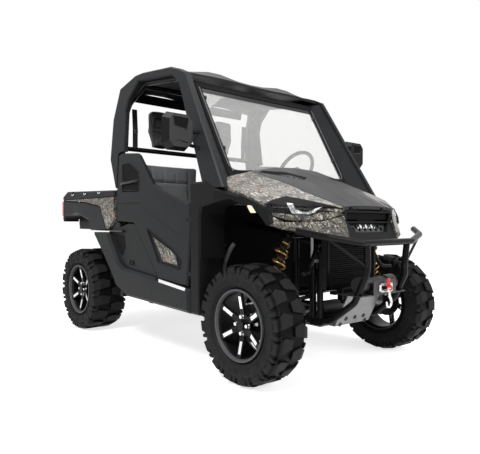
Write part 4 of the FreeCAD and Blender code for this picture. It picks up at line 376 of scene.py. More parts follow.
def plastic(name, color, rough, scale=900.0, depth=0.00012, dust=0.06, specular=0.4,
            slot="black_plastic"):
    """Moulded plastic: grain, slow tone, faint scratches and a little dust low down."""
    finish = Finish(name, slot, Specular_IOR_Level=specular)
    grain = finish.use("moulded_grain", Scale=scale)
    scratched = finish.use("fine_scratches")["Mask"]
    tone = finish.tinted(grain["Tone"], color)
    pale = tuple(min(c * 1.9 + 0.01, 1.0) for c in color)
    tone = finish.blend(finish.times(scratched, 0.35), tone, pale)
    mask = finish.use("settled_dust", Top=0.5, Amount=dust)["Mask"]
    finish.color(finish.blend(mask, tone, DUST))
    gloss = finish.math("ADD", grain["Gloss"], rough)
    finish.rough(finish.between(mask, gloss, 0.9))
    finish.relief(grain["Height"], depth)
    return finish


def dress(finish, *names):
    """Gives CAD nodes a finish."""
    for name in names:
        node = NODES[name]
        node.data.materials.clear()
        node.data.materials.append(finish.material)
        for face in node.data.polygons:
            face.use_smooth = False


charcoal = plastic("charcoal_moulded", (0.0125, 0.013, 0.014), 0.46, specular=0.11,
                   slot="charcoal_plastic")
flare_black = plastic("flare_moulded", (0.0050, 0.0052, 0.0056), 0.42, 700.0, 0.00016,
                      specular=0.09)
hood_grey = plastic("hood_satin", (0.0185, 0.019, 0.0203), 0.38, 1400.0, 0.00004, dust=0.05,
                    specular=0.16)
dark_plastic = plastic("cab_liner", (0.0036, 0.0036, 0.004), 0.60, 600.0, 0.0002, dust=0.02,
                       specular=0.06)
roof_black = plastic("roof_moulded", (0.0075, 0.0078, 0.0083), 0.42, 1000.0, 0.0001, dust=0.0,
                     specular=0.12)


def camouflaged():
    """Film-printed plastic under clear lacquer."""
    finish = Finish("camouflage_film", "camo_plastic", Specular_IOR_Level=0.28,
                    Coat_Weight=0.25, Coat_Roughness=0.08)
    picture = finish.use("camouflage")["Color"]
    finish.color(finish.dusted(picture, 0.9, 0.15))
    ripple = finish.noise(finish.place, 6.0, 2.0)
    finish.rough(finish.between(ripple, 0.30, 0.42))
    peel = finish.noise(finish.place, 420.0, 2.0)
    finish.relief(peel, 0.00005)
    return finish


camo = camouflaged()


def rubber(name, slot, color, rough):
    """Tyre and seal rubber: matt, with mould sweat, dust low down, rings and painted shade
    darkening the tread valleys.
    """
    finish = Finish(name, slot, Specular_IOR_Level=0.06)
    grain = finish.use("moulded_grain", Scale=520.0)
    axle = finish.use("about_the_axle")
    rings = finish.node("ShaderNodeTexWave", {
        "Vector": finish.join(axle["Radius"], 0.0, 0.0), "Scale": 60.0, "Distortion": 0.0},
        bands_direction="X").outputs[1]
    flank = finish.band(axle["Radius"], (0.21, 0.216), (0.262, 0.256))
    tone = finish.tinted(grain["Tone"], color)
    pale = finish.noise(finish.place, 7.0, 5.0, 0.6)
    tone = finish.blend(finish.step(pale, 0.50, 0.75, 0.0, 0.35), tone, (0.020, 0.0195, 0.019))
    tone = finish.dusted(tone, 0.55, 0.06)
    crown = finish.math("ABSOLUTE", finish.math("SUBTRACT", axle["Across"], MIDDLE_TRACK))
    # painted shade: the low tread valleys between the lugs are coloured near black
    painted_valley_shade = finish.times(finish.step(crown, 0.104, 0.092),
                          finish.band(axle["Radius"], (0.324, 0.318), (0.296, 0.306)))
    finish.color(finish.blend(painted_valley_shade, tone, (0.0018, 0.0018, 0.002)))
    finish.rough(finish.math("ADD", grain["Gloss"], rough))
    ribs = finish.times(rings, flank)
    first = finish.node("ShaderNodeBump", {"Height": ribs, "Distance": 0.0012}).outputs[0]
    finish.relief(grain["Height"], 0.0003, first)
    return finish


tyre_rubber = rubber("tyre_rubber", "tyre_rubber", (0.0125, 0.0128, 0.0135), 0.56)
seal_rubber = rubber("seal_rubber", "black_rubber", (0.009, 0.009, 0.009), 0.62)


def coated_metal(name, color, rough, chip, metallic=0.0, specular=0.5, slot="black_paint"):
    """Powder-coated or cast metal: orange peel, small chips on a wide scatter and some dust."""
    finish = Finish(name, slot, Metallic=metallic, Specular_IOR_Level=specular)
    peel = finish.noise(finish.place, 260.0, 3.0)
    patch = finish.noise(finish.place, 8.0, 4.0)
    chips = finish.cells(finish.place, 70.0, "F1")
    some = finish.step(finish.noise(finish.place, 21.0, 3.0), 0.60, 0.66)
    chipped = finish.times(finish.step(chips, 0.16, 0.10), some)
    tone = finish.tinted(finish.between(patch, 0.82, 1.18), color)
    tone = finish.blend(finish.times(chipped, chip), tone, (0.30, 0.29, 0.28))
    finish.color(finish.dusted(tone, 0.5, 0.03))
    finish.rough(finish.between(patch, rough - 0.05, rough + 0.10))
    finish.relief(peel, 0.00012)
    return finish


black_coat = coated_metal("black_powder_coat", (0.0042, 0.0042, 0.0046), 0.22, 0.3, specular=0.09)
cast_metal = coated_metal("cast_metal", (0.060, 0.060, 0.063), 0.50, 0.2, 0.5)
gold_coat = coated_metal("gold_spring_coat", (0.27, 0.165, 0.055), 0.26, 0.1, 0.85,
                         slot="gold_paint")


def bright_metal(name, color, rough, stretch=(40.0, 900.0, 40.0)):
    """Machined or rolled metal with fine lines and stains."""
    finish = Finish(name, "bare_steel", Metallic=1.0)
    lines = finish.noise(finish.vector("MULTIPLY", finish.place, stretch), 1.0, 3.0)
    stain = finish.noise(finish.place, 14.0, 4.0)
    tone = finish.tinted(finish.between(lines, 0.82, 1.12), color)
    tone = finish.blend(finish.step(stain, 0.52, 0.78, 0.0, 0.4), tone,
                        tuple(c * 0.55 for c in color))
    finish.color(finish.dusted(tone, 0.6, 0.15))
    finish.rough(finish.between(lines, rough - 0.06, rough + 0.10))
    finish.relief(lines, 0.00008)
    return finish


bare_steel = bright_metal("bare_steel", (0.50, 0.50, 0.51), 0.38)
scuff_metal = bright_metal("scuff_metal", (0.88, 0.88, 0.88), 0.44, (60.0, 500.0, 60.0))
plate_metal = bright_metal("skid_plate_metal", (0.20, 0.20, 0.203), 0.48, (300.0, 60.0, 60.0))


def alloy_wheel():
    """Black cast wheel with a machined lip, machined spoke ribs and bright nuts."""
    finish = Finish("machined_alloy", Specular_IOR_Level=0.12)
    axle = finish.use("about_the_axle")
    peel = finish.noise(finish.place, 300.0, 3.0)
    lathe = finish.noise(finish.join(finish.times(axle["Radius"], 2400.0), 0.0, 0.0), 1.0, 2.0)

    def off_the_nearest(spread, radius):
        """How far a place lies, along the circle, from the nearest of the spokes or nuts."""
        share = finish.math("DIVIDE", axle["Turn"], spread)
        off = finish.math("ABSOLUTE", finish.math("SUBTRACT", share, finish.math("ROUND", share)))
        return finish.times(finish.times(off, spread), radius)

    rib = finish.times(
        finish.step(off_the_nearest(math.pi / 3, axle["Radius"]), 0.0100, 0.0092),
        finish.band(axle["Radius"], (0.088, 0.090), (0.158, 0.155)))
    rib = finish.times(rib, finish.step(axle["Across"], 0.705, 0.708))
    nut = finish.times(finish.step(off_the_nearest(math.pi / 2, 0.045), 0.0095, 0.0090),
                       finish.band(axle["Radius"], (0.035, 0.036), (0.055, 0.054)))
    lip = finish.times(finish.step(axle["Radius"], 0.1790, 0.1800),
                       finish.step(axle["Across"], 0.730, 0.734))
    metal = finish.math("MAXIMUM", rib, nut, clamp=True)
    patch = finish.noise(finish.place, 9.0, 4.0)
    black = finish.tinted(finish.between(patch, 0.8, 1.2), (0.004, 0.004, 0.0045))
    black = finish.blend(lip, black, (0.062, 0.063, 0.066))
    shine = finish.tinted(finish.between(lathe, 0.86, 1.08), (0.80, 0.80, 0.81))
    color = finish.blend(metal, black, shine)
    finish.color(finish.dusted(color, 0.4, 0.03))
    finish.feed(finish.shader.inputs["Metallic"], finish.times(metal, 0.95))
    finish.rough(finish.between(metal, finish.between(peel, 0.30, 0.42),
                                finish.between(lathe, 0.24, 0.36)))
    finish.relief(finish.between(metal, peel, lathe), 0.00006)
    return finish


wheel_alloy = alloy_wheel()


def glazing(name, color, rough, ior, clear):
    """A clear or tinted pane with faint smears."""
    finish = Finish(name, Transmission_Weight=clear, Metallic=0.0, IOR=ior)
    smear = finish.noise(finish.vector("MULTIPLY", finish.place, (3.0, 9.0, 2.0)), 1.0, 4.0)
    finish.color(finish.tinted(finish.between(smear, 0.96, 1.0), color))
    finish.rough(finish.step(smear, 0.55, 0.8, rough, rough + 0.03))
    return finish


pane = glazing("windscreen_pane", (0.86, 0.855, 0.85), 0.0, 1.5, 0.84)
lens_clear = glazing("lamp_lens_clear", (0.80, 0.81, 0.82), 0.0, 1.25, 1.0)


def lamp_red():
    """Red moulded lens with fine prisms."""
    finish = Finish("tail_lens_red", Specular_IOR_Level=0.5, Coat_Weight=0.5)
    prisms = finish.cells(finish.place, 190.0, "F1", spread=0.1)
    finish.color(finish.blend(prisms, (0.30, 0.010, 0.008), (0.62, 0.035, 0.022)))
    finish.rough(finish.between(prisms, 0.12, 0.25))
    finish.relief(prisms, 0.0006)
    return finish


tail_red = lamp_red()


def core_fins():
    """Radiator core: fine upright fins between flat tubes, with painted shade darkening the gaps
    between them.
    """
    finish = Finish("radiator_core", Specular_IOR_Level=0.2)
    fins = finish.node("ShaderNodeTexWave", {"Vector": finish.place, "Scale": 160.0},
                       bands_direction="Y").outputs[1]
    tubes = finish.node("ShaderNodeTexWave", {"Vector": finish.place, "Scale": 32.0},
                        bands_direction="Z").outputs[1]
    height = finish.math("MAXIMUM", fins, finish.step(tubes, 0.7, 0.9))
    # painted shade: the low gaps of the relief are coloured darker than the fin and tube tops
    finish.color(finish.blend(height, (0.002, 0.002, 0.002), (0.010, 0.010, 0.0105)))
    finish.rough(finish.between(height, 0.7, 0.45))
    finish.relief(height, 0.002)
    return finish


def winch_finish():
    """Black winch with bright rollers and a red hook block."""
    finish = Finish("winch_parts", Specular_IOR_Level=0.5)
    peel = finish.noise(finish.place, 260.0, 3.0)
    patch = finish.noise(finish.place, 12.0, 4.0)
    color = finish.tinted(finish.between(patch, 0.8, 1.2), (0.012, 0.012, 0.013))
    rollers = finish.zone((1.3935, -0.066, 0.480), (1.412, 0.066, 0.560))
    lines = finish.noise(finish.vector("MULTIPLY", finish.place, (60.0, 700.0, 60.0)), 1.0, 2.0)
    color = finish.blend(rollers, color, finish.tinted(finish.between(lines, 0.8, 1.1),
                                                       (0.60, 0.60, 0.61)))
    hook = finish.zone((1.400, -0.03, 0.480), (1.46, 0.03, 0.575))
    hook = finish.times(hook, finish.zone((1.4125, -0.05, 0.4), (1.5, 0.05, 0.6)))
    color = finish.blend(hook, color, (0.50, 0.020, 0.014))
    finish.color(color)
    finish.feed(finish.shader.inputs["Metallic"], rollers)
    finish.rough(finish.between(rollers, finish.between(peel, 0.36, 0.5),
                                finish.between(lines, 0.18, 0.3)))
    finish.relief(peel, 0.00012)
    return finish


dress(charcoal, "cab_side_left", "cab_side_right", "rockers", "side_panels", "bed_box",
      "bed_flares", "tailgate", "door_left", "door_right")
dress(flare_black, "front_flares", "grille_surround")
dress(roof_black, "roof")
dress(hood_grey, "hood")
dress(camo, "nose_covers", "bed_trim")
dress(dark_plastic, "cab_tub", "dashboard")
dress(tyre_rubber, "tyre_front_left", "tyre_front_right", "tyre_rear_left", "tyre_rear_right")
dress(wheel_alloy, "rim_front_left", "rim_front_right", "rim_rear_left", "rim_rear_right")
dress(black_coat, "suspension_arms", "frame_rails", "frame_cross_members", "roll_cage",
      "front_bumper", "hitch_receiver", "steering_column", "steering_wheel",
      "shock_absorbers")
dress(cast_metal, "knuckle_left", "knuckle_right", "rear_uprights", "axle_cases", "engine")
dress(gold_coat, "coil_springs")
dress(bare_steel, "drive_shafts", "steering_rack", "muffler")
dress(plate_metal, "skid_plate")
dress(pane, "windscreen")
dress(lens_clear, "headlamp_lenses")
dress(seal_rubber, "windscreen_seal")
dress(tail_red, "tail_lamps")
dress(core_fins(), "radiator")
dress(winch_finish(), "winch")
dress(dark_plastic, "seat_cushions", "seat_backs", "headrests")


# ---- Building pieces

HARD_EDGE = math.radians(28)


def closed_mesh(name, points, faces):
    """A linked object whose faces all look outward."""
    mesh = bpy.data.meshes.new(name)
    mesh.from_pydata([tuple(point) for point in points], [], faces)
    mesh.validate()
    shape = bmesh.new()
    shape.from_mesh(mesh)
    bmesh.ops.recalc_face_normals(shape, faces=shape.faces)
    shape.to_mesh(mesh)
    shape.free()
    piece = bpy.data.objects.new(name, mesh)
    bpy.context.scene.collection.objects.link(piece)
    return piece


def made(name, points, faces, finish, body, slot=None, bevel=0.0, smooth=False, levels=0):
    """A mesh piece from points and faces, finished and riding on a body."""
    slot = slot or finish.slot
    piece = closed_mesh(name, points, faces)
    piece.data.materials.append(finish.material)
    for face in piece.data.polygons:
        face.use_smooth = smooth
    if bevel:
        round_edges(piece, bevel)
    if levels:
        piece.modifiers.new("soft", "SUBSURF").levels = levels
        piece.modifiers["soft"].render_levels = levels
    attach(piece, body)
    return piece


def round_edges(piece, width):
    """Rounds the hard edges of a piece."""
    rounded = piece.modifiers.new("rounded", "BEVEL")
    rounded.width = width
    rounded.segments = 2
    rounded.limit_method = "ANGLE"
    rounded.angle_limit = HARD_EDGE
    rounded.harden_normals = False


def flip(points):
    """The same points on the other side of the vehicle."""
    return [(x, -y, z) for x, y, z in points]


def block_between(low, high):
    """A solid from two rings of points with the same count."""
    count = len(low)
    faces = [list(range(count)), list(range(2 * count - 1, count - 1, -1))]
    faces += [[i, (i + 1) % count, (i + 1) % count + count, i + count] for i in range(count)]
    return list(low) + list(high), faces


def at_x(x, spots):
    """Places across the vehicle and up, as points at one distance forward."""
    return [(x, y, z) for y, z in spots]


def at_y(y, spots):
    """Places forward and up, as points at one distance across."""
    return [(x, y, z) for x, z in spots]


def extruded(outline, along):
    """Points and faces of a closed outline carried along a vector."""
    low = [Vector(point) for point in outline]
    return block_between(low, [point + Vector(along) for point in low])


def both(name, points, faces, finish, bodies, **more):
    """A piece on the driver's side and its twin on the other."""
    left, right = bodies if isinstance(bodies, tuple) else (bodies, bodies)
    made(name + "_left", points, faces, finish, left, **more)
    made(name + "_right", flip(points), faces, finish, right, **more)


def smooth_line(points, steps):
    """A Catmull-Rom line through a few points."""
    points = [Vector(point) for point in points]
    line = []
    for i in range(len(points) - 1):
        a = points[max(i - 1, 0)]
        b, c = points[i], points[i + 1]
        d = points[min(i + 2, len(points) - 1)]
        for step in range(steps):
            t = step / steps
            line.append(0.5 * (2 * b + (c - a) * t + (2 * a - 5 * b + 4 * c - d) * t * t
                               + (3 * b - a - 3 * c + d) * t ** 3))
    line.append(points[-1])
    return line


def tube(line, radius, sides=10, closed=False):
    """Points and faces of a round tube along a line, its ring kept from twisting."""
    line = [Vector(point) for point in line]
    count = len(line)
    points, faces = [], []
    side = None
    for i, point in enumerate(line):
        before = line[i - 1] if i or closed else point
        after = line[(i + 1) % count] if i < count - 1 or closed else point
        ahead = (after - before).normalized()
        if side is None:
            side = ahead.cross(Vector((0.3, 0.2, 1.0))).normalized()
        side = (side - ahead * side.dot(ahead)).normalized()
        up = ahead.cross(side)
        size = radius(i / max(count - 1, 1)) if callable(radius) else radius
        for k in range(sides):
            turn = 2 * math.pi * k / sides
            points.append(point + (side * math.cos(turn) + up * math.sin(turn)) * size)
    for i in range(count if closed else count - 1):
        for k in range(sides):
            a, b = i * sides, (i + 1) % count * sides
            nxt = (k + 1) % sides
            faces.append([a + k, a + nxt, b + nxt, b + k])
    if not closed:
        faces.append(list(range(sides))[::-1])
        faces.append([(count - 1) * sides + k for k in range(sides)])
    return points, faces


def lathe(profile, place, axis, sides=24):
    """Points and faces turned round an axis, from pairs of distance along it and radius."""
    axis = Vector(axis).normalized()
    side = axis.cross(Vector((0.31, 0.17, 0.93))).normalized()
    up = axis.cross(side)
    points, faces = [], []
    for along, radius in profile:
        for k in range(sides):
            turn = 2 * math.pi * k / sides
            out = side * math.cos(turn) + up * math.sin(turn)
            points.append(Vector(place) + axis * along + out * radius)
    for i in range(len(profile) - 1):
        for k in range(sides):
            nxt = (k + 1) % sides
            faces.append([i * sides + k, i * sides + nxt, (i + 1) * sides + nxt,
                          (i + 1) * sides + k])
    faces.append(list(range(sides))[::-1])
    faces.append([(len(profile) - 1) * sides + k for k in range(sides)])
    return points, faces


def joined(parts):
    """Several sets of points and faces as one."""
    points, faces = [], []
    for some, loops in parts:
        start = len(points)
        points += [Vector(point) for point in some]
        faces += [[i + start for i in loop] for loop in loops]
    return points, faces


def bolts(name, places, axis, size, finish, body):
    """Hexagonal bolt heads on washers, standing on a surface."""
    heads = []
    for place in places:
        washer = lathe([(0.0, size * 1.3), (size * 0.2, size * 1.3), (size * 0.22, size * 0.9)],
                       place, axis, 16)
        top = Vector(place) + Vector(axis).normalized() * size * 0.2
        head = lathe([(0.0, size), (size * 0.55, size), (size * 0.7, size * 0.82)], top, axis, 6)
        heads += [washer, head]
    made(name, *joined(heads), finish, body)


def rivets(name, places, axis, size, finish, body):
    """Domed push rivets with a centre dimple."""
    heads = [lathe([(-0.001, size), (size * 0.18, size), (size * 0.38, size * 0.72),
                    (size * 0.40, size * 0.42), (size * 0.28, size * 0.34)], place, axis, 14)
             for place in places]
    made(name, *joined(heads), finish, body)


# ---- Seats and headrests

SEAT_Y = 0.320
SEAT_HALF = 0.292
BOLSTER_Y = 0.165
PAD_SHRINK = 0.012
COVER_STIFFNESS = 18
COVER_BENDING = 0.6
STUFFING_STEPS = 20


def seat_cloth():
    """Grey seat cover: woven sides, a lighter insert and fine wear."""
    finish = Finish("seat_cover", "seat_cloth", Specular_IOR_Level=0.35, Sheen_Weight=0.15,
                    Sheen_Roughness=0.5)
    weave = finish.use("woven_cloth", Scale=260.0)
    parts = finish.split(finish.place)
    across = finish.math("ABSOLUTE", finish.math(
        "SUBTRACT", finish.math("ABSOLUTE", parts["Y"]), SEAT_Y))
    insert = finish.step(across, BOLSTER_Y + 0.002, BOLSTER_Y - 0.002)
    color = finish.blend(insert, (0.060, 0.062, 0.065), (0.090, 0.092, 0.096))
    color = finish.tinted(weave["Tone"], color)
    stain = finish.noise(finish.place, 5.0, 4.0)
    finish.color(finish.blend(finish.step(stain, 0.5, 0.8, 0.0, 0.3), color, (0.03, 0.03, 0.03)))
    finish.rough(finish.between(weave["Height"], 0.72, 0.86))
    finish.relief(weave["Height"], 0.0005)
    return finish


def grid_pad(outline, low_y, high_y, cuts):
    """A closed block from a side outline, cut across its width."""
    rows = [low_y + (high_y - low_y) * i / cuts for i in range(cuts + 1)]
    points = [(x, y, z) for y in rows for x, z in outline]
    count = len(outline)
    faces = [[i * count + k, i * count + (k + 1) % count, (i + 1) * count + (k + 1) % count,
              (i + 1) * count + k] for i in range(cuts) for k in range(count)]
    faces.append(list(range(count)))
    faces.append([cuts * count + k for k in range(count)][::-1])
    return points, faces


def evaluated(piece):
    """The piece's mesh with its modifiers applied."""
    graph = bpy.context.evaluated_depsgraph_get()
    graph.update()
    return bpy.data.meshes.new_from_object(piece.evaluated_get(graph))


def puffed(points, faces, voxel, pressure, cap):
    """The points and faces of a pad after a short cloth simulation under inner pressure."""
    work = closed_mesh("pad_work", points, faces)
    remesh = work.modifiers.new("voxels", "REMESH")
    remesh.mode = "VOXEL"
    remesh.voxel_size = voxel
    even = work.modifiers.new("even", "SMOOTH")
    even.iterations = 3
    work.data = evaluated(work)
    work.modifiers.clear()
    start = [vertex.co.copy() for vertex in work.data.vertices]
    cover = work.modifiers.new("stuffing", "CLOTH").settings
    cover.quality = 4
    cover.tension_stiffness = cover.compression_stiffness = COVER_STIFFNESS
    cover.bending_stiffness = COVER_BENDING
    cover.use_pressure = True
    cover.uniform_pressure_force = pressure
    cover.effector_weights.gravity = 0
    for frame_number in range(1, STUFFING_STEPS + 1):
        bpy.context.scene.frame_set(frame_number)
    swollen = evaluated(work)
    work.modifiers.clear()
    moved = []
    for before, vertex in zip(start, swollen.vertices):
        step = vertex.co - before
        moved.append(before + step * min(1.0, cap / max(step.length, 1e-6)))
    start = moved
    bpy.context.scene.frame_set(1)
    loops = [list(face.vertices) for face in work.data.polygons]
    bpy.data.objects.remove(work)
    return start, loops


def press_seams(points, seams):
    """Moves points inward along narrow grooves, one for each seam."""
    pressed = []
    for point in points:
        moved = point.copy()
        for inside, normal, place, width, depth, away in seams:
            if inside(point):
                apart = abs(point.dot(Vector(normal)) - place)
                moved += Vector(away) * depth * math.exp(-(apart / width) ** 2)
        pressed.append(moved)
    return pressed


def spots_of(name):
    """The places of a CAD node's vertices."""
    return [NODES[name].matrix_world @ vertex.co for vertex in NODES[name].data.vertices]


def surface_of(*names):
    """The skins of CAD nodes as one search tree."""
    skins = [(spots_of(name), [list(face.vertices) for face in NODES[name].data.polygons])
             for name in names]
    return BVHTree.FromPolygons(*joined(skins))


def piping(tree, route, away, reach, radius, sides=6):
    """A thin cord laid on a surface where a route is pushed onto it."""
    line = []
    for point in smooth_line(route, 10):
        hit = tree.ray_cast(point - Vector(away) * reach, Vector(away))[0]
        if hit is not None:
            line.append(hit)
    return tube(line, radius, sides) if len(line) > 2 else ([], [])


def make_seats():
    """Two seats, each with a stuffed cushion and a stuffed back, with seams and piping."""
    cloth = seat_cloth()
    bolsters = (SEAT_Y - BOLSTER_Y, SEAT_Y + BOLSTER_Y)
    cushion = [(-0.415, 0.648), (-0.110, 0.648), (-0.102, 0.690), (-0.130, 0.722),
               (-0.260, 0.716), (-0.415, 0.712)]
    back = [(-0.318, 0.756), (-0.345, 1.080), (-0.362, 1.325), (-0.392, 1.338),
            (-0.408, 1.320), (-0.378, 0.760)]
    low, high = SEAT_Y - SEAT_HALF + PAD_SHRINK, SEAT_Y + SEAT_HALF - PAD_SHRINK
    for name, outline, away, node in (("cushion", cushion, (0, 0, -1), "seat_cushions"),
                                      ("back", back, (-0.995, 0, -0.09), "seat_backs")):
        points, faces = puffed(*grid_pad(outline, low, high, 12), 0.011, 3.5, 0.016)
        seams = []
        top = (lambda p: p.z > 0.68) if name == "cushion" else (lambda p: p.x > -0.385)
        for y in bolsters:
            seams.append((top, (0, 1, 0), y, 0.010, 0.012, away))
        if name == "back":
            for z in (0.93, 1.19):
                seams.append((lambda p: p.x > -0.385 and abs(p.y - SEAT_Y) < BOLSTER_Y,
                              (0, 0, 1), z, 0.009, 0.010, away))
            for y in (SEAT_Y - 0.055, SEAT_Y + 0.055):
                seams.append((lambda p: p.x > -0.385 and p.z > 1.19, (0, 1, 0), y,
                              0.008, 0.008, away))
        else:
            for x in (-0.20, -0.31):
                seams.append((lambda p: p.z > 0.68 and abs(p.y - SEAT_Y) < BOLSTER_Y,
                              (1, 0, 0), x, 0.009, 0.009, away))
        points = press_seams(points, seams)
        tree = BVHTree.FromPolygons([tuple(point) for point in points], faces)
        cords = []
        if name == "back":
            for y in bolsters:
                cords.append(([(0, y, 0.80), (0, y, 1.0), (0, y, 1.18), (0, y, 1.32)], (-1, 0, 0)))
            cords.append(([(0, bolsters[0], 1.19), (0, SEAT_Y, 1.19),
                           (0, bolsters[1], 1.19)], (-1, 0, 0)))
        else:
            for y in bolsters:
                cords.append(([(-0.39, y, 0.9), (-0.26, y, 0.9), (-0.13, y, 0.9)], (0, 0, -1)))
        cord_points, cord_faces = joined([piping(tree, route, way, 0.3, 0.0028)
                                          for route, way in cords])
        for side in ("left", "right"):
            keep = list if side == "left" else flip
            pad = made(f"seat_{name}_pad_{side}", keep(points), faces, cloth, "chassis",
                       smooth=True, levels=1)
            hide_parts(node)
            made(f"seat_{name}_piping_{side}", keep(cord_points), cord_faces, seal_rubber,
                 "chassis", slot="seat_cloth", smooth=True)


def make_headrests():
    """Two moulded headrests, wide at the head and narrow at the foot, with a framed window."""
    skin = plastic("headrest_skin", (0.010, 0.0102, 0.011), 0.42, 800.0, 0.00015, dust=0.0)
    foot, shoulder, top = 1.472, 1.600, 1.764
    half_foot, half_head = 0.054, 0.102
    outline = [(SEAT_Y - half_foot, foot), (SEAT_Y + half_foot, foot),
               (SEAT_Y + half_head, shoulder), (SEAT_Y + half_head - 0.010, top - 0.02),
               (SEAT_Y + half_head - 0.028, top), (SEAT_Y - half_head + 0.028, top),
               (SEAT_Y - half_head + 0.010, top - 0.02), (SEAT_Y - half_head, shoulder)]
    points, faces = puffed(*extruded(at_x(-0.528, outline), (0.052, 0, 0)), 0.007, 3.0, 0.007)
    seams = [(lambda p: p.x > -0.50, (0, 0, 1), 1.598, 0.006, 0.006, (-1, 0, 0))]
    for y in (SEAT_Y - 0.062, SEAT_Y + 0.062):
        seams.append((lambda p: p.x > -0.50 and p.z > 1.598, (0, 1, 0), y, 0.005, 0.004,
                      (-1, 0, 0)))
    points = press_seams(points, seams)
    tree = BVHTree.FromPolygons([tuple(point) for point in points], faces)
    frame_line = [(0, SEAT_Y - 0.058, 1.632), (0, SEAT_Y + 0.058, 1.632),
                  (0, SEAT_Y + 0.052, 1.706), (0, SEAT_Y - 0.052, 1.706)]
    ring = []
    for a, b in zip(frame_line, frame_line[1:] + frame_line[:1]):
        for step in range(6):
            spot = Vector(a).lerp(Vector(b), step / 6)
            hit = tree.ray_cast(spot, Vector((-1, 0, 0)))[0]
            if hit is not None:
                ring.append(hit)
    cord_points, cord_faces = tube(ring, 0.0045, 8, closed=True)
    for side in ("left", "right"):
        keep = list if side == "left" else flip
        pad = made(f"headrest_pad_{side}", keep(points), faces, skin, "chassis", smooth=True,
                   levels=1)
        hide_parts("headrests")
        made(f"headrest_frame_{side}", keep(cord_points), cord_faces, gloss_black, "chassis",
             smooth=True)


gloss_black = plastic("gloss_black_trim", (0.004, 0.004, 0.0045), 0.20, 1500.0, 0.00002,
                      dust=0.0, specular=0.22)
make_seats()
make_headrests()


# ---- Lamps, inserts and trim on the body

LAMP_ROWS = [((1.276, 0.240, 0.960), (1.280, 0.240, 0.930)),
             ((1.225, 0.330, 0.965), (1.240, 0.330, 0.905)),
             ((1.160, 0.450, 0.975), (1.178, 0.450, 0.893)),
             ((1.105, 0.545, 0.980), (1.120, 0.545, 0.905)),
             ((1.052, 0.614, 0.980), (1.056, 0.614, 0.940))]


def lamp_spot(across, down, deep):
    """A point of the left headlamp, from shares across and down its face and a depth behind."""
    row = min(int(across * 4), 3)
    share = across * 4 - row
    tops = Vector(LAMP_ROWS[row][0]).lerp(Vector(LAMP_ROWS[row + 1][0]), share)
    lows = Vector(LAMP_ROWS[row][1]).lerp(Vector(LAMP_ROWS[row + 1][1]), share)
    return tops.lerp(lows, down) - Vector((deep, 0, 0))


def mirror_bright():
    """Bright moulded reflector with stepped facets."""
    finish = Finish("lamp_reflector", "grey_plastic", Metallic=0.9)
    facets = finish.cells(finish.place, 85.0, "F1", spread=0.4)
    lines = finish.noise(finish.place, 40.0, 3.0)
    shade = finish.step(lines, 0.42, 0.58)
    finish.color(finish.blend(shade, (0.30, 0.31, 0.32), (0.72, 0.73, 0.74)))
    finish.rough(finish.between(facets, 0.12, 0.34))
    finish.relief(facets, 0.0015)
    return finish


def amber_lens():
    """Pale amber moulded marker lens."""
    finish = Finish("marker_lens", "clear_pane", Specular_IOR_Level=0.5, Coat_Weight=0.4)
    prisms = finish.cells(finish.place, 120.0, "F1", spread=0.15)
    finish.color(finish.blend(prisms, (0.78, 0.60, 0.36), (0.86, 0.76, 0.58)))
    finish.rough(finish.between(prisms, 0.15, 0.3))
    finish.relief(prisms, 0.0008)
    return finish


bright = mirror_bright()
mask_black = plastic("lamp_mask", (0.0022, 0.0022, 0.0024), 0.45, 1500.0, 0.00002, dust=0.0,
                     specular=0.05)
mirror_black = plastic("mirror_gloss", (0.003, 0.003, 0.0033), 0.24, 1500.0, 0.00002,
                       dust=0.0, specular=0.14)
bead_grey = plastic("bead_grey", (0.085, 0.085, 0.088), 0.40, 900.0, 0.00003, dust=0.0,
                    specular=0.25, slot="grey_plastic")
mesh_satin = plastic("grille_satin", (0.030, 0.031, 0.033), 0.35, 1500.0, 0.00002, dust=0.0,
                     specular=0.35)


NOSE_WAY = Vector((0.78, 0.42, 0.47)).normalized()


def laid_on(tree, outline, lift, thick, cuts=4):
    """A closed skin over the left side of the nose, from the corners of its outline."""
    shape = bmesh.new()
    corners = [shape.verts.new(point) for point in outline]
    shape.faces.new(corners)
    bmesh.ops.triangulate(shape, faces=shape.faces)
    bmesh.ops.subdivide_edges(shape, edges=shape.edges, cuts=cuts, use_grid_fill=True)
    bmesh.ops.triangulate(shape, faces=shape.faces)
    shape.verts.index_update()
    low, high = [], []
    for vertex in shape.verts:
        place = tree.ray_cast(vertex.co + NOSE_WAY * 0.06, -NOSE_WAY, 0.12)[0] or vertex.co
        low.append(place + NOSE_WAY * (lift - 0.002))
        high.append(place + NOSE_WAY * (lift + thick))
    count = len(low)
    faces = []
    for face in shape.faces:
        loop = [vertex.index for vertex in face.verts]
        faces += [[i + count for i in loop], loop[::-1]]
    for edge in shape.edges:
        if len(edge.link_faces) == 1:
            a, b = (vertex.index for vertex in edge.verts)
            faces.append([a, b, b + count, a + count])
    shape.free()
    return low + high, faces


LAMP_TOP = [(1.052, 0.614, 0.980), (1.080, 0.578, 0.980), (1.105, 0.545, 0.980),
            (1.160, 0.450, 0.975), (1.1925, 0.390, 0.970), (1.225, 0.330, 0.965),
            (1.276, 0.240, 0.960)]
MASK_TOP = [(1.0392, 0.622, 0.9867), (1.040, 0.5425, 1.0132), (1.0412, 0.4515, 1.0348),
            (1.0919, 0.4007, 1.0224), (1.1495, 0.3535, 1.0066), (1.2037, 0.3127, 0.9909),
            (1.2767, 0.2478, 0.9662)]
BROW_TOP = [(1.064, 0.606, 0.940), (1.1264, 0.5258, 0.9288), (1.160, 0.469, 0.9262),
            (1.1922, 0.4107, 0.9236), (1.2169, 0.3562, 0.9418), (1.269, 0.2574, 0.9446)]
LAMP_LOW = [(1.056, 0.614, 0.938), (1.120, 0.545, 0.903), (1.149, 0.4975, 0.897),
            (1.178, 0.450, 0.891), (1.240, 0.330, 0.903), (1.281, 0.240, 0.928)]
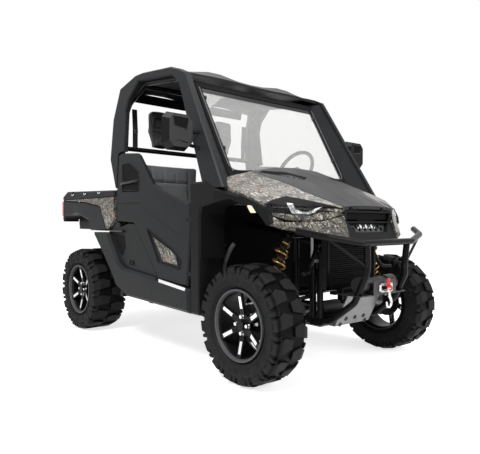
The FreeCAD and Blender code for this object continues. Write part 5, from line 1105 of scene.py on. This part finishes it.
LAMP_HOOK = [
    [(1.0955, 0.5055, 0.9918), (1.1191, 0.4777, 0.9875), (1.1377, 0.4901, 0.9727),
     (1.1213, 0.5191, 0.9724)],
    [(1.1213, 0.5191, 0.9724), (1.1377, 0.4901, 0.9727), (1.1488, 0.4797, 0.9486),
     (1.1385, 0.5037, 0.932)],
    [(1.1385, 0.5037, 0.932), (1.1488, 0.4797, 0.9440), (1.1859, 0.4129, 0.9418),
     (1.1838, 0.4239, 0.9296)],
    [(1.1838, 0.4239, 0.9296), (1.1859, 0.4129, 0.9418), (1.1990, 0.3800, 0.9632),
     (1.2163, 0.3418, 0.9733), (1.1975, 0.3950, 0.9400)],
]


def make_lamps():
    """Black masks above the lenses, printed chins below, bright hooks and marker lamps."""
    tree = surface_of("nose_covers", "headlamp_lenses")
    strips = [laid_on(tree, [MASK_TOP[i], MASK_TOP[i + 1], LAMP_TOP[i + 1], LAMP_TOP[i]],
                      0.0, 0.0022, 3) for i in range(6)]
    both("headlamp_mask", *joined(strips), mask_black, "chassis")
    strips = [laid_on(tree, [BROW_TOP[i], BROW_TOP[i + 1], LAMP_LOW[i + 1], LAMP_LOW[i]],
                      0.0, 0.0016, 3) for i in range(5)]
    both("headlamp_chin", *joined(strips), camo, "chassis")
    hooks = [laid_on(tree, outline, 0.002, 0.0022, 3) for outline in LAMP_HOOK]
    both("headlamp_hook", *joined(hooks), bright, "chassis")
    bowls = [lathe([(0.0, 0.024), (-0.004, 0.026), (-0.006, 0.020), (-0.016, 0.014),
                    (-0.018, 0.006)], lamp_spot(across, 0.36, 0.022), (0.9, 0.4, 0.1), 20)
             for across in (0.52, 0.36)]
    both("headlamp_bowls", *joined(bowls), bright, "chassis", smooth=True)
    lens = [(0.966, 0.6815, 0.981), (0.990, 0.671, 0.938), (1.018, 0.657, 0.938),
            (0.995, 0.669, 0.976)]
    both("marker_lamp", *extruded(lens, (0.0022, 0.0040, 0)), amber_lens(), "chassis", bevel=0.001)
    rim = tube(lens, 0.0022, 6, closed=True)
    both("marker_lamp_rim", *rim, gloss_black, "chassis")


def sheet_on_side(name, outline, y, depth, finish, bodies, **more):
    """A flat plate on a body side, from its side view."""
    both(name, *extruded(at_y(y, outline), (0, depth, 0)), finish, bodies, **more)


def strip(name, line, radius, finish, bodies, steps=1, sides=8):
    """A thin cord or lip on both sides."""
    both(name, *tube(smooth_line(line, steps), radius, sides), finish, bodies, smooth=True)


def make_side_trim():
    """Printed inserts, scuff plates, scoops, latch bars, rivets and bolts on both sides."""
    doors = ("door_left", "door_right")
    insert = [(0.085, 0.784), (0.209, 0.628), (0.377, 0.614), (0.358, 0.669), (0.299, 0.703)]
    sheet_on_side("door_insert", insert, 0.7335, 0.0020, camo, doors, bevel=0.0008)
    edge = at_y(0.7375, [(0.010, 0.834), (0.152, 0.616), (0.396, 0.589), (0.413, 0.640),
                         (0.310, 0.713)])
    both("door_insert_lip", *tube(edge, 0.0030, 6, closed=True), charcoal, doors, smooth=True)
    scuff = [(0.172, 0.7440, 0.5085), (0.478, 0.7440, 0.4805), (0.492, 0.7585, 0.4650),
             (0.196, 0.7585, 0.4915)]
    both("scuff_plate", *extruded(scuff, (0, 0.0026, 0.0026)), scuff_metal, "chassis", bevel=0.0008)
    bar = lathe([(0.0, 0.0095), (0.012, 0.0100), (0.180, 0.0100), (0.192, 0.0115),
                 (0.200, 0.0085)], (-0.530, 0.7345, 0.812), (1, 0, 0.01), 16)
    both("bed_latch_bar", *bar, gloss_black, "chassis", smooth=True)
    # painted shade: the scoop is a flat near-black sheet on the side, standing for its shaded
    # hollow
    scoop = [(-0.497, 0.796), (-0.332, 0.784), (-0.312, 0.694), (-0.352, 0.635),
             (-0.391, 0.655)]
    sheet_on_side("side_scoop", scoop, 0.7262, 0.0014, mask_black, "chassis")
    socket = [(-0.244, 0.612), (-0.172, 0.604), (-0.176, 0.572), (-0.248, 0.580)]
    sheet_on_side("side_socket", socket, 0.7235, 0.0035, dark_plastic, "chassis",
                  bevel=0.0012, slot="charcoal_plastic")
    keyhole = lathe([(0.0, 0.011), (0.003, 0.011), (0.004, 0.006), (0.001, 0.005)],
                    (-0.211, 0.727, 0.592), (0, 1, 0), 16)
    both("side_key", *keyhole, gloss_black, "chassis", smooth=True)
    flare_spots = [(0.665, 0.985), (0.560, 0.900), (0.560, 0.700), (0.560, 0.500)]
    rocker_spots = [(-0.56, 0.66), (-0.40, 0.50), (-0.20, 0.44), (0.10, 0.40), (0.40, 0.37)]
    for side, sign in (("left", 1), ("right", -1)):
        for name, y, spots in (("flare", 0.750, flare_spots), ("rocker", 0.7595, rocker_spots)):
            rivets(f"{name}_rivets_{side}", at_y(y * sign, spots), (0, sign, 0), 0.0065,
                   gloss_black, "chassis")
        rivets(f"arch_rivets_{side}", [(x, sign * (0.7405 - 0.08 * (z - 1.05)), z) for x, z in (
            (-0.545, 1.38), (-0.545, 1.62), (-0.30, 1.925), (0.02, 1.914))],
            (0, sign, 0.08), 0.006, gloss_black, "chassis")
        bolts(f"door_hinge_bolts_{side}", [(0.490, 0.7393 * sign, z) for z in (0.570, 0.900)],
              (0, sign, 0), 0.0045, black_coat, f"door_{side}")


GLASS_OUT = (0.868, 0, 0.497)
GLASS_FOOT, GLASS_RISE = 1.181, 0.602


def glass_frame(across, height, out):
    """A point on the windscreen from its place across, its height and a distance off it."""
    share = (height - GLASS_FOOT) / GLASS_RISE
    return Vector((0.667 - 0.345 * share, across, height)) + Vector(GLASS_OUT) * out


def make_windscreen_trim():
    """Clips, the pale bead round the pane, its dark top band and the hood's rear seal."""
    knobs = []
    for across, height in ((0.532, 1.690), (0.532, 1.345), (-0.532, 1.690), (-0.532, 1.345)):
        place = glass_frame(across, height, 0.0032)
        knobs.append(lathe([(0.0, 0.017), (0.004, 0.017), (0.006, 0.012), (0.013, 0.011),
                            (0.016, 0.007)], place, GLASS_OUT, 18))
    made("windscreen_clips", *joined(knobs), gloss_black, "chassis", smooth=True)
    edge = [glass_frame(across, height, 0.012) for across, height in (
        (0.549, 1.762), (0.549, 1.500), (0.549, 1.270), (0.538, 1.214), (0.490, 1.198),
        (0.36, 1.205))]
    strip("windscreen_bead", edge, 0.0038, bead_grey, "chassis", steps=6)
    band = [glass_frame(across, height, 0.0036) for across, height in (
        (-0.527, 1.772), (0.527, 1.772), (0.527, 1.732), (-0.527, 1.732))]
    made("windscreen_band", *extruded(band, (0.0009, 0, 0.0005)), gloss_black, "chassis")
    lip = at_x(0.694, [(y, 1.2385 - 0.045 * (abs(y) / 0.40) ** 2.2) for y in
                       (-0.40, -0.30, -0.20, -0.10, 0.0, 0.10, 0.20, 0.30, 0.40)])
    made("hood_rear_seal", *tube(smooth_line(lip, 4), 0.0075, 8),
         seal_rubber, "chassis", smooth=True)


NOSE_ROWS = [
    (0.700, [(0.0, 1.250), (0.200, 1.240), (0.400, 1.203), (0.560, 1.166), (0.700, 1.127)]),
    (0.940, [(0.0, 1.160), (0.180, 1.1505), (0.338, 1.115), (0.560, 1.0745), (0.690, 1.043)]),
    (1.045, [(0.0, 1.1076), (0.160, 1.0998), (0.303, 1.0667), (0.480, 1.0257), (0.618, 0.9906)]),
    (1.281, [(0.0, 0.9848), (0.120, 0.9828), (0.200, 0.9789), (0.227, 0.975), (0.242, 0.9653)]),
]


def row_place(row, share):
    """A point of a nose section at a share of its run from the middle outward."""
    x, spots = row
    place = share * (len(spots) - 1)
    first = min(int(place), len(spots) - 2)
    (y0, z0), (y1, z1) = spots[first], spots[first + 1]
    part = place - first
    return Vector((x, y0 + (y1 - y0) * part, z0 + (z1 - z0) * part))


def nose_height(x, y):
    """Height of the nose's surface at a place in plan."""
    first = 0 if x < NOSE_ROWS[1][0] else 1 if x < NOSE_ROWS[2][0] else 2
    a, b = NOSE_ROWS[first], NOSE_ROWS[first + 1]
    share = (x - a[0]) / (b[0] - a[0])
    low, high = 0.0, 1.0
    for _ in range(24):
        middle = (low + high) / 2
        spot = row_place(a, middle).lerp(row_place(b, middle), share)
        if spot.y < abs(y):
            low = middle
        else:
            high = middle
    return spot.z


def make_hood_trim():
    """Dark floors and louvres in the hood's two scoops."""
    scoop = [(0.733, 0.374), (0.714, 0.329), (0.792, 0.202), (0.903, 0.120), (0.9535, 0.200),
             (0.8385, 0.269)]
    middle = Vector((sum(x for x, y in scoop) / 6, sum(y for x, y in scoop) / 6, 0))
    floor = []
    for x, y in scoop:
        spot = Vector((x, y, 0)).lerp(middle, 0.07)
        floor.append((spot.x, spot.y, nose_height(spot.x, spot.y) - 0.0098))
    both("hood_scoop_floor", *extruded(floor, (0, 0, 0.0012)), dark_plastic, "hood")
    slats = []
    for share in (0.14, 0.28, 0.42, 0.56, 0.70, 0.84):
        a = Vector((0.733, 0.352, 0)).lerp(Vector((0.915, 0.135, 0)), share)
        b = Vector((0.800, 0.300, 0)).lerp(Vector((0.945, 0.196, 0)), share)
        a, b = a.lerp(b, 0.12), a.lerp(b, 0.88)
        line = [(p.x, p.y, nose_height(p.x, p.y) - 0.0068) for p in (a, a.lerp(b, 0.5), b)]
        slats.append(tube(line, 0.0026, 6))
    both("hood_scoop_louvres", *joined(slats), gloss_black, "hood", smooth=True)


def make_mirrors():
    """Mirror glass on the rear faces, framed windows on the front faces (each window a near-black
    sheet, painted shade of a recess, in a real rim coloured lighter grey as a painted highlight)
    and angled feet.
    """
    glass = Finish("mirror_glass", "bare_steel", Metallic=1.0)
    haze = glass.noise(glass.place, 9.0, 3.0)
    glass.color(glass.blend(haze, (0.74, 0.76, 0.78), (0.82, 0.83, 0.84)))
    glass.rough(glass.between(haze, 0.02, 0.07))
    face = at_x(0.5095, [(0.782, 1.330), (0.902, 1.330), (0.920, 1.352), (0.920, 1.490),
                         (0.902, 1.510), (0.782, 1.510), (0.764, 1.490), (0.764, 1.352)])
    both("mirror_glass", *extruded(face, (-0.0012, 0, 0)), glass, "chassis")
    both("mirror_glass_rim", *tube(face, 0.003, 6, closed=True), gloss_black, "chassis")
    # painted shade: the recessed window is a flat near-black sheet standing proud of the face
    window = at_x(0.5715, [(0.790, 1.500), (0.900, 1.500), (0.892, 1.442), (0.800, 1.428)])
    both("mirror_window", *extruded(window, (0.0015, 0, 0)), mask_black, "chassis", bevel=0.0006)
    # painted highlight: the rim round the window is real, but its lighter grey stands for the
    # highlight along its edge
    both("mirror_window_highlight_rim", *tube(window, 0.0026, 6, closed=True), mesh_satin, "chassis")
    crease = at_x(0.5715, [(0.796, 1.352), (0.850, 1.362), (0.880, 1.360)])
    strip("mirror_crease", crease, 0.0026, gloss_black, "chassis")
    foot = [(0.560, 0.776, 1.342), (0.560, 0.752, 1.338), (0.562, 0.735, 1.336),
            (0.580, 0.712, 1.322)]
    strip("mirror_foot", foot, 0.0105, black_coat, "chassis", steps=4)


dress(mask_black, "headlamp_housings")
dress(mirror_black, "mirrors")
dress(mesh_satin, "grille_mesh")
make_lamps()
make_side_trim()
make_windscreen_trim()
make_hood_trim()
make_mirrors()


# ---- Tread, grille, handles and what shows behind the wheels

TYRE_HALF = {"front": 0.1125, "rear": 0.1375}
LUG_COUNT = 16
LUG_TURN = 2 * math.pi / LUG_COUNT
# Rings of (share of the half width, share of a lug's turn, distance from the axle), a lower and
# an upper one for each block, and the shares of a turn by which the block repeats.
TREAD_BLOCKS = [
    ([(0.74, 0.53, 0.300), (0.985, 0.55, 0.268), (0.985, 0.74, 0.268), (0.74, 0.78, 0.300)],
     [(0.77, 0.55, 0.3235), (1.006, 0.58, 0.309), (1.006, 0.71, 0.309), (0.77, 0.75, 0.3235)],
     (0.0,)),
    ([(0.955, 0.00, 0.236), (0.955, 0.22, 0.236), (0.955, 0.30, 0.280), (0.955, -0.05, 0.280)],
     [(0.990, 0.03, 0.242), (0.990, 0.19, 0.242), (1.012, 0.27, 0.282), (1.012, -0.02, 0.282)],
     (0.0,)),
    ([(0.955, 0.52, 0.232), (0.955, 0.58, 0.232), (0.955, 0.58, 0.262), (0.955, 0.52, 0.262)],
     [(0.988, 0.53, 0.234), (0.988, 0.57, 0.234), (0.998, 0.57, 0.260), (0.998, 0.53, 0.260)],
     (-0.10, 0.0, 0.10)),
]
FLANK_RING_RADIUS = 0.226


def on_wheel(centre, across, radius, turn):
    """A point of a tyre, from its place across the tread, its distance and turn from the axle."""
    return (centre[0] + radius * math.sin(turn), centre[1] + across,
            centre[2] + radius * math.cos(turn))


def tread_blocks(centre, half):
    """Shoulder blocks, feet under the lugs, flank ribs and a ring on each flank of one tyre."""
    parts = []
    for i in range(LUG_COUNT):
        for sign, stagger in ((1, 0.0), (-1, LUG_TURN / 2)):
            turn = LUG_TURN * i + stagger
            for low, high, slides in TREAD_BLOCKS:
                for slide in slides:
                    parts.append(block_between(*(
                        [on_wheel(centre, sign * share * half, radius,
                                  turn + (step + slide) * LUG_TURN)
                         for share, step, radius in ring] for ring in (low, high))))
    for sign in (1, -1):
        ring = [on_wheel(centre, sign * half * 0.972, FLANK_RING_RADIUS, 2 * math.pi * k / 48)
                for k in range(48)]
        parts.append(tube(ring, 0.0032, 6, closed=True))
    return joined(parts)


def make_treads():
    """Tread blocks on all four tyres."""
    for end, x in (("front", AXLE_X), ("rear", -AXLE_X)):
        for side, sign in (("left", 1), ("right", -1)):
            centre = (x, sign * TRACK_HALF[end], WHEEL_RADIUS)
            made(f"tread_blocks_{end}_{side}", *tread_blocks(centre, TYRE_HALF[end]),
                 tyre_rubber, f"wheel_{end}_{side}", bevel=0.0012)


def make_grille():
    """Dark ducts behind the mesh that leave its lower middle open."""
    upper = at_x(1.262, [(-0.225, 0.975), (0.225, 0.975), (0.225, 0.890), (-0.225, 0.890)])
    made("grille_upper_duct", *extruded(upper, (-0.004, 0, 0)), dark_plastic, "chassis")
    side = at_x(1.262, [(0.085, 0.905), (0.240, 0.905), (0.240, 0.800), (0.105, 0.800)])
    both("grille_side_duct", *extruded(side, (-0.004, 0, 0)), dark_plastic, "chassis")


COIL_WIRE = 0.0070
COIL_END = 0.004
COIL_TURNS = 5
COIL_STEPS = 20


def make_springs():
    """A second helix between each spring's own coils, so that it reads as close-wound."""
    spots = spots_of("coil_springs")
    for end, ahead in (("front", 1), ("rear", -1)):
        for side, sign in (("left", 1), ("right", -1)):
            made_spring(f"spring_coils_{end}_{side}",
                        [p for p in spots if p.x * ahead > 0 and p.y * sign > 0])


def made_spring(name, spots):
    """One more helix about the long axis of a spring, from that spring's points."""
    middle = sum(spots, Vector()) / len(spots)
    top = max(spots, key=lambda p: p.z)
    low = min(spots, key=lambda p: p.z)
    ends = [[p for p in spots if p.z > top.z - 0.03], [p for p in spots if p.z < low.z + 0.03]]
    high_end, low_end = (sum(group, Vector()) / len(group) for group in ends)
    axis = (high_end - low_end).normalized()
    radius = max(((p - middle) - axis * (p - middle).dot(axis)).length for p in spots) - COIL_WIRE
    across = axis.cross(Vector((1, 0, 0))).normalized()
    upright = axis.cross(across)
    along = [(p - middle).dot(axis) for p in spots]
    start, end = min(along) + COIL_END, max(along) - COIL_END
    first = min(spots, key=lambda p: (p - middle).dot(axis)) - middle
    near = [p - middle for p in spots if 0.010 < (p - middle).dot(axis) - min(along) < 0.016]
    second = sum(near, Vector()) / len(near)
    phase = math.atan2(first.dot(upright), first.dot(across))
    later = math.atan2(second.dot(upright), second.dot(across))
    hand = 1 if math.sin(later - phase) > 0 else -1
    line = []
    for i in range(COIL_TURNS * COIL_STEPS + 1):
        turn = phase + math.pi + hand * 2 * math.pi * i / COIL_STEPS
        line.append(middle + axis * (start + (end - start) * i / (COIL_TURNS * COIL_STEPS))
                    + (across * math.cos(turn) + upright * math.sin(turn)) * radius)
    made(name, *tube(line, COIL_WIRE, 8), gold_coat, "chassis", smooth=True)


def make_radiator():
    """Slats across the radiator's face, inside a frame."""
    spots = spots_of("radiator")
    low = Vector([min(p[k] for p in spots) for k in range(3)])
    high = Vector([max(p[k] for p in spots) for k in range(3)])
    slats = []
    count = 26
    for i in range(count):
        z = low.z + 0.022 + (high.z - low.z - 0.044) * i / (count - 1)
        outline = [(high.x, low.y + 0.020, z), (high.x + 0.006, low.y + 0.020, z - 0.005),
                   (high.x + 0.006, low.y + 0.020, z - 0.007), (high.x, low.y + 0.020,
                                                               z - 0.0025)]
        slats.append(extruded(outline, (0, high.y - low.y - 0.040, 0)))
    made("radiator_slats", *joined(slats), mask_black, "chassis")
    rims = []
    for (y0, y1), (z0, z1) in (((low.y, high.y), (high.z - 0.018, high.z)),
                               ((low.y, high.y), (low.z, low.z + 0.018)),
                               ((low.y, low.y + 0.018), (low.z, high.z)),
                               ((high.y - 0.018, high.y), (low.z, high.z))):
        outline = [(high.x, y0, z0), (high.x, y1, z0), (high.x, y1, z1), (high.x, y0, z1)]
        rims.append(extruded(outline, (0.008, 0, 0)))
    made("radiator_rim", *joined(rims), black_coat, "chassis")


DOOR_LEAN = 0.0797


def make_handles():
    """Door pulls, rail hooks, belts and the grey tubes behind the front wheels."""
    doors = ("door_left", "door_right")
    # painted shade: the handle pocket is a flat near-black sheet on the door skin, standing for its
    # shaded recess
    pocket = [(-0.362, 1.303), (-0.265, 1.310), (-0.122, 1.236), (-0.106, 1.098),
              (-0.325, 1.112)]
    skin = [(x, 0.7212 + (1.290 - z) * DOOR_LEAN, z) for x, z in pocket]
    both("door_pocket", *extruded(skin, (0, 0.0012, 0)), mask_black, doors)
    pull = [(-0.350, 0.734, 1.152), (-0.335, 0.742, 1.160), (-0.240, 0.744, 1.164),
            (-0.140, 0.742, 1.170), (-0.118, 0.735, 1.166)]
    strip("door_pull", pull, 0.0095, gloss_black, doors, steps=5, sides=12)
    lip = [(x, y + 0.0010, z) for x, y, z in skin]
    both("door_pocket_lip", *tube(lip, 0.0026, 6, closed=True), charcoal, doors, smooth=True)
    header = [(-0.5005, -0.555, 1.884), (-0.5005, 0.555, 1.884), (-0.504, 0.545, 1.813),
              (-0.504, -0.545, 1.813)]
    made("rear_header", *extruded(header, (-0.006, 0, 0)), mask_black, "chassis")
    for number, x in enumerate((-1.214, -0.973, -0.714), 1):
        # painted shade: each notch is a flat near-black sheet on the rail, standing for its dark
        # hole
        notch = [(x - 0.034, 1.118), (x + 0.034, 1.118), (x + 0.024, 1.094),
                 (x - 0.024, 1.094)]
        sheet_on_side(f"rail_notch_{number}", notch, 0.7402, 0.0012, mask_black, "bed")
        hook = [(x - 0.020, 0.7405, 1.116), (x - 0.008, 0.7450, 1.104),
                (x + 0.012, 0.7450, 1.104), (x + 0.022, 0.7405, 1.115)]
        strip(f"rail_hook_{number}", hook, 0.0045, bare_steel, "bed", steps=3)
    for number, line in enumerate((
            [(0.413, 0.500, 0.505), (0.446, 0.500, 0.545), (0.458, 0.500, 0.628),
             (0.509, 0.500, 0.708), (0.549, 0.500, 0.747)],
            [(0.549, 0.562, 0.515), (0.551, 0.520, 0.545), (0.560, 0.500, 0.634),
             (0.609, 0.500, 0.712), (0.647, 0.500, 0.751)]), 1):
        both(f"well_tube_{number}", *tube(smooth_line(line, 6), 0.0135, 12),
             pipe_grey, "chassis", smooth=True)
    belt = [(-0.480, 0.560, 1.750), (-0.480, 0.553, 1.600), (-0.482, 0.552, 1.455)]
    both("belt_webbing", *ribbon_of(belt, (0, 0.022, 0), (0.0016, 0, 0)), belt_cloth, "chassis")
    plate = at_x(-0.476, [(0.530, 1.606), (0.571, 1.606), (0.571, 1.560), (0.530, 1.560)])
    both("belt_guide", *extruded(plate, (-0.010, 0, 0)), gloss_black, "chassis", bevel=0.003)


def ribbon_of(line, half_width, thick):
    """A flat webbing strip along a line."""
    half, thick = Vector(half_width), Vector(thick)
    points, faces = [], []
    for spot in line:
        spot = Vector(spot)
        points += [spot - half, spot + half, spot + half + thick, spot - half + thick]
    for i in range(len(line) - 1):
        a, b = i * 4, i * 4 + 4
        faces += [[a + k, a + (k + 1) % 4, b + (k + 1) % 4, b + k] for k in range(4)]
    faces += [[0, 1, 2, 3], [len(points) - 4 + k for k in (3, 2, 1, 0)]]
    return points, faces


def make_front_end():
    """Winch tab and hook, dark discs for the holes in the skid plate (painted shade), a lever and
    two brackets up front.
    """
    tab = at_x(1.4125, [(-0.014, 0.572), (0.016, 0.572), (0.020, 0.520), (0.008, 0.497),
                        (-0.012, 0.500)])
    made("winch_tab", *extruded(tab, (0.006, 0, 0)), tab_red, "chassis", bevel=0.002)
    hook = [(1.418, 0.003, 0.505), (1.420, 0.003, 0.474), (1.420, 0.017, 0.452),
            (1.420, 0.021, 0.428), (1.420, 0.004, 0.410), (1.420, -0.018, 0.418),
            (1.420, -0.025, 0.441)]
    made("winch_hook", *tube(smooth_line(hook, 6), lambda t: 0.0095 - 0.004 * t, 12),
         hook_steel, "chassis", smooth=True)
    eye = tube([(1.418, 0.003 + 0.011 * math.cos(k * math.pi / 8),
                 0.505 + 0.011 * math.sin(k * math.pi / 8)) for k in range(16)], 0.004, 8,
               closed=True)
    made("winch_eye", *eye, hook_steel, "chassis", smooth=True)
    # painted shade: the holes are shallow gloss-black discs on the plate, not openings
    holes = [lathe([(-0.002, 0.014), (0.0012, 0.014), (0.0012, 0.010), (-0.001, 0.009)],
                   (1.1775 + (z - 0.2995) * 0.489, y, z), (0.9, 0, -0.44), 18)
             for y, z in ((-0.085, 0.318), (0.0, 0.318), (0.085, 0.318), (-0.12, 0.285),
                          (0.12, 0.285))]
    made("skid_holes", *joined(holes), gloss_black, "chassis",
         smooth=True)
    lever = [(1.150, 0.430, 0.600), (1.136, 0.360, 0.606), (1.120, 0.330, 0.640),
             (1.105, 0.262, 0.735), (1.094, 0.238, 0.745)]
    strip("front_lever", lever, 0.0125, black_coat, "chassis", steps=5, sides=12)
    post = at_x(1.105, [(0.285, 0.640), (0.300, 0.640), (0.300, 0.800), (0.285, 0.800)])
    arms = [extruded([(1.103, y, z + dz) for y, dz in (
        (0.237, 0), (0.288, 0), (0.288, 0.018), (0.237, 0.018))], (-0.008, 0, 0))
        for z in (0.655, 0.715)]
    both("front_post", *joined([extruded(post, (-0.012, 0, 0))] + arms),
         bare_steel, "chassis", bevel=0.0015)


def make_cockpit():
    """Dials and switches on the dash, and two pedals on arms from the firewall."""
    dash = surface_of("dashboard")
    dials = []
    for y, z, size in ((0.320, 1.175, 0.046), (-0.460, 1.130, 0.036), (0.500, 1.130, 0.036),
                       (-0.120, 1.130, 0.036), (0.120, 1.130, 0.036)):
        hit, normal, _, _ = dash.ray_cast(Vector((0.10, y, z)), Vector((1, 0, 0)))
        if hit is None:
            continue
        if normal.x > 0:
            normal = -normal
        dials.append(lathe([(-0.004, size), (0.010, size), (0.012, size * 0.90),
                            (0.004, size * 0.84), (0.004, size * 0.22), (0.010, size * 0.16)],
                           hit, normal, 28))
    made("dash_dials", *joined(dials), gloss_black, "chassis", smooth=True)
    keys = []
    for k in range(5):
        y = -0.06 + 0.03 * k
        hit, normal, _, _ = dash.ray_cast(Vector((0.10, y, 1.060)), Vector((1, 0, 0)))
        if hit is None:
            continue
        outline = [hit + Vector((-0.001, dy, dz)) for dy, dz in (
            (-0.011, -0.017), (0.011, -0.017), (0.011, 0.017), (-0.011, 0.017))]
        keys.append(extruded(outline, (-0.007, 0, 0.001)))
    if keys:
        made("dash_switches", *joined(keys), mesh_satin, "chassis",
             bevel=0.002)
    wall = surface_of("cab_tub")
    parts = []
    for y in (0.250, 0.390):
        hit = wall.ray_cast(Vector((0.15, y, 0.640)), Vector((1, 0, 0)))[0]
        if hit is None:
            continue
        knee = Vector((hit.x - 0.060, y, 0.600))
        foot = Vector((hit.x - 0.110, y, 0.520))
        parts.append(tube(smooth_line([hit, knee, foot], 4), 0.008, 8))
        pad = [foot + Vector((0.010 * a + 0.004, b, 0.035 * a)) for a, b in (
            (-1, -0.030), (-1, 0.030), (1, 0.030), (1, -0.030))]
        parts.append(extruded(pad, (-0.010, 0, 0.003)))
    if parts:
        made("pedals", *joined(parts), black_coat, "chassis", bevel=0.002)


def lacquered_red():
    """Red lacquer with a fine peel and rubbed patches."""
    finish = Finish("red_lacquer", "red_lens", Specular_IOR_Level=0.4)
    peel = finish.noise(finish.place, 300.0, 3.0)
    worn = finish.noise(finish.place, 60.0, 3.0)
    finish.color(finish.blend(finish.step(worn, 0.60, 0.70), (0.52, 0.016, 0.012),
                              (0.26, 0.012, 0.010)))
    finish.rough(finish.between(peel, 0.30, 0.42))
    finish.relief(peel, 0.0001)
    return finish


tab_red = lacquered_red()
hook_steel = bright_metal("forged_hook", (0.62, 0.62, 0.63), 0.26)
pipe_grey = coated_metal("pipe_grey", (0.085, 0.085, 0.088), 0.45, 0.1, specular=0.4,
                         slot="grey_plastic")


def webbing():
    """Black woven belt."""
    finish = Finish("belt_webbing", "seat_cloth", Specular_IOR_Level=0.2, Sheen_Weight=0.2)
    cloth = finish.use("woven_cloth", Scale=520.0)
    finish.color(finish.tinted(cloth["Tone"], (0.010, 0.010, 0.011)))
    finish.rough(finish.between(cloth["Height"], 0.8, 0.95))
    finish.relief(cloth["Height"], 0.0004)
    return finish


belt_cloth = webbing()

for width, edged in (
        (0.0015, ("bed_trim",)), (0.002, ("grille_surround", "skid_plate", "frame_rails")),
        (0.0022, ("door_left", "door_right", "cab_side_left", "cab_side_right", "side_panels",
                  "bed_box", "tailgate")),
        (0.0028, ("tyre_front_left", "tyre_front_right", "tyre_rear_left", "tyre_rear_right")),
        (0.003, ("rockers", "bed_flares", "front_flares", "mirrors", "dashboard", "roof"))):
    for name in edged:
        round_edges(NODES[name], width)

make_treads()
make_springs()
make_radiator()
make_grille()
make_handles()
make_front_end()
make_cockpit()


# ---- The studio

FLOOR_GLOW = 0.72
WORLD_LIGHT = 0.36


def studio_floor():
    """A wide pale floor that keeps the object's shadow."""
    mesh = bpy.data.meshes.new("studio_floor")
    shape = bmesh.new()
    bmesh.ops.create_grid(shape, x_segments=24, y_segments=24, size=40)
    shape.to_mesh(mesh)
    shape.free()
    floor = bpy.data.objects.new("studio_floor", mesh)
    bpy.context.scene.collection.objects.link(floor)
    finish = Finish("studio_floor_paper", Specular_IOR_Level=0.0)
    fibre = finish.noise(finish.place, 30.0, 3.0)
    finish.color(finish.blend(fibre, (0.86, 0.86, 0.86), (0.88, 0.88, 0.88)))
    finish.rough(finish.between(fibre, 0.95, 1.0))
    finish.shader.inputs["Emission Strength"].default_value = FLOOR_GLOW
    seen = seen_background(finish)
    finish.feed(finish.shader.inputs["Emission Color"], finish.join(seen, seen, seen))
    mesh.materials.append(finish.material)


def studio_world():
    """White where it is seen, a softer grey where it lights the object."""
    world = bpy.data.worlds.new("studio_light")
    bpy.context.scene.world = world
    world.use_nodes = True
    wires = Wires(world.node_tree)
    background = world.node_tree.nodes["Background"]
    background.inputs["Color"].default_value = (1, 1, 1, 1)
    seen = seen_background(wires)
    wires.feed(background.inputs["Strength"], wires.between(seen, WORLD_LIGHT, 1.0))


look_from((3.06507, -2.54469, 0.89474), 139.12, 0.7, 0.27, 38.53)
studio_floor()
studio_world()
soft_lamp("key_light", (2.2, -3.4, 4.6), (0.2, 0, 0.8), (2.2, 2.2), 340)
soft_lamp("fill_light", (4.8, 1.8, 2.6), (0.2, 0, 0.7), (2.6, 2.6), 90)
soft_lamp("top_light", (-0.6, 0.4, 4.6), (0, 0, 1.0), (4.5, 3.0), 80)
bpy.context.scene.view_settings.view_transform = "Standard"
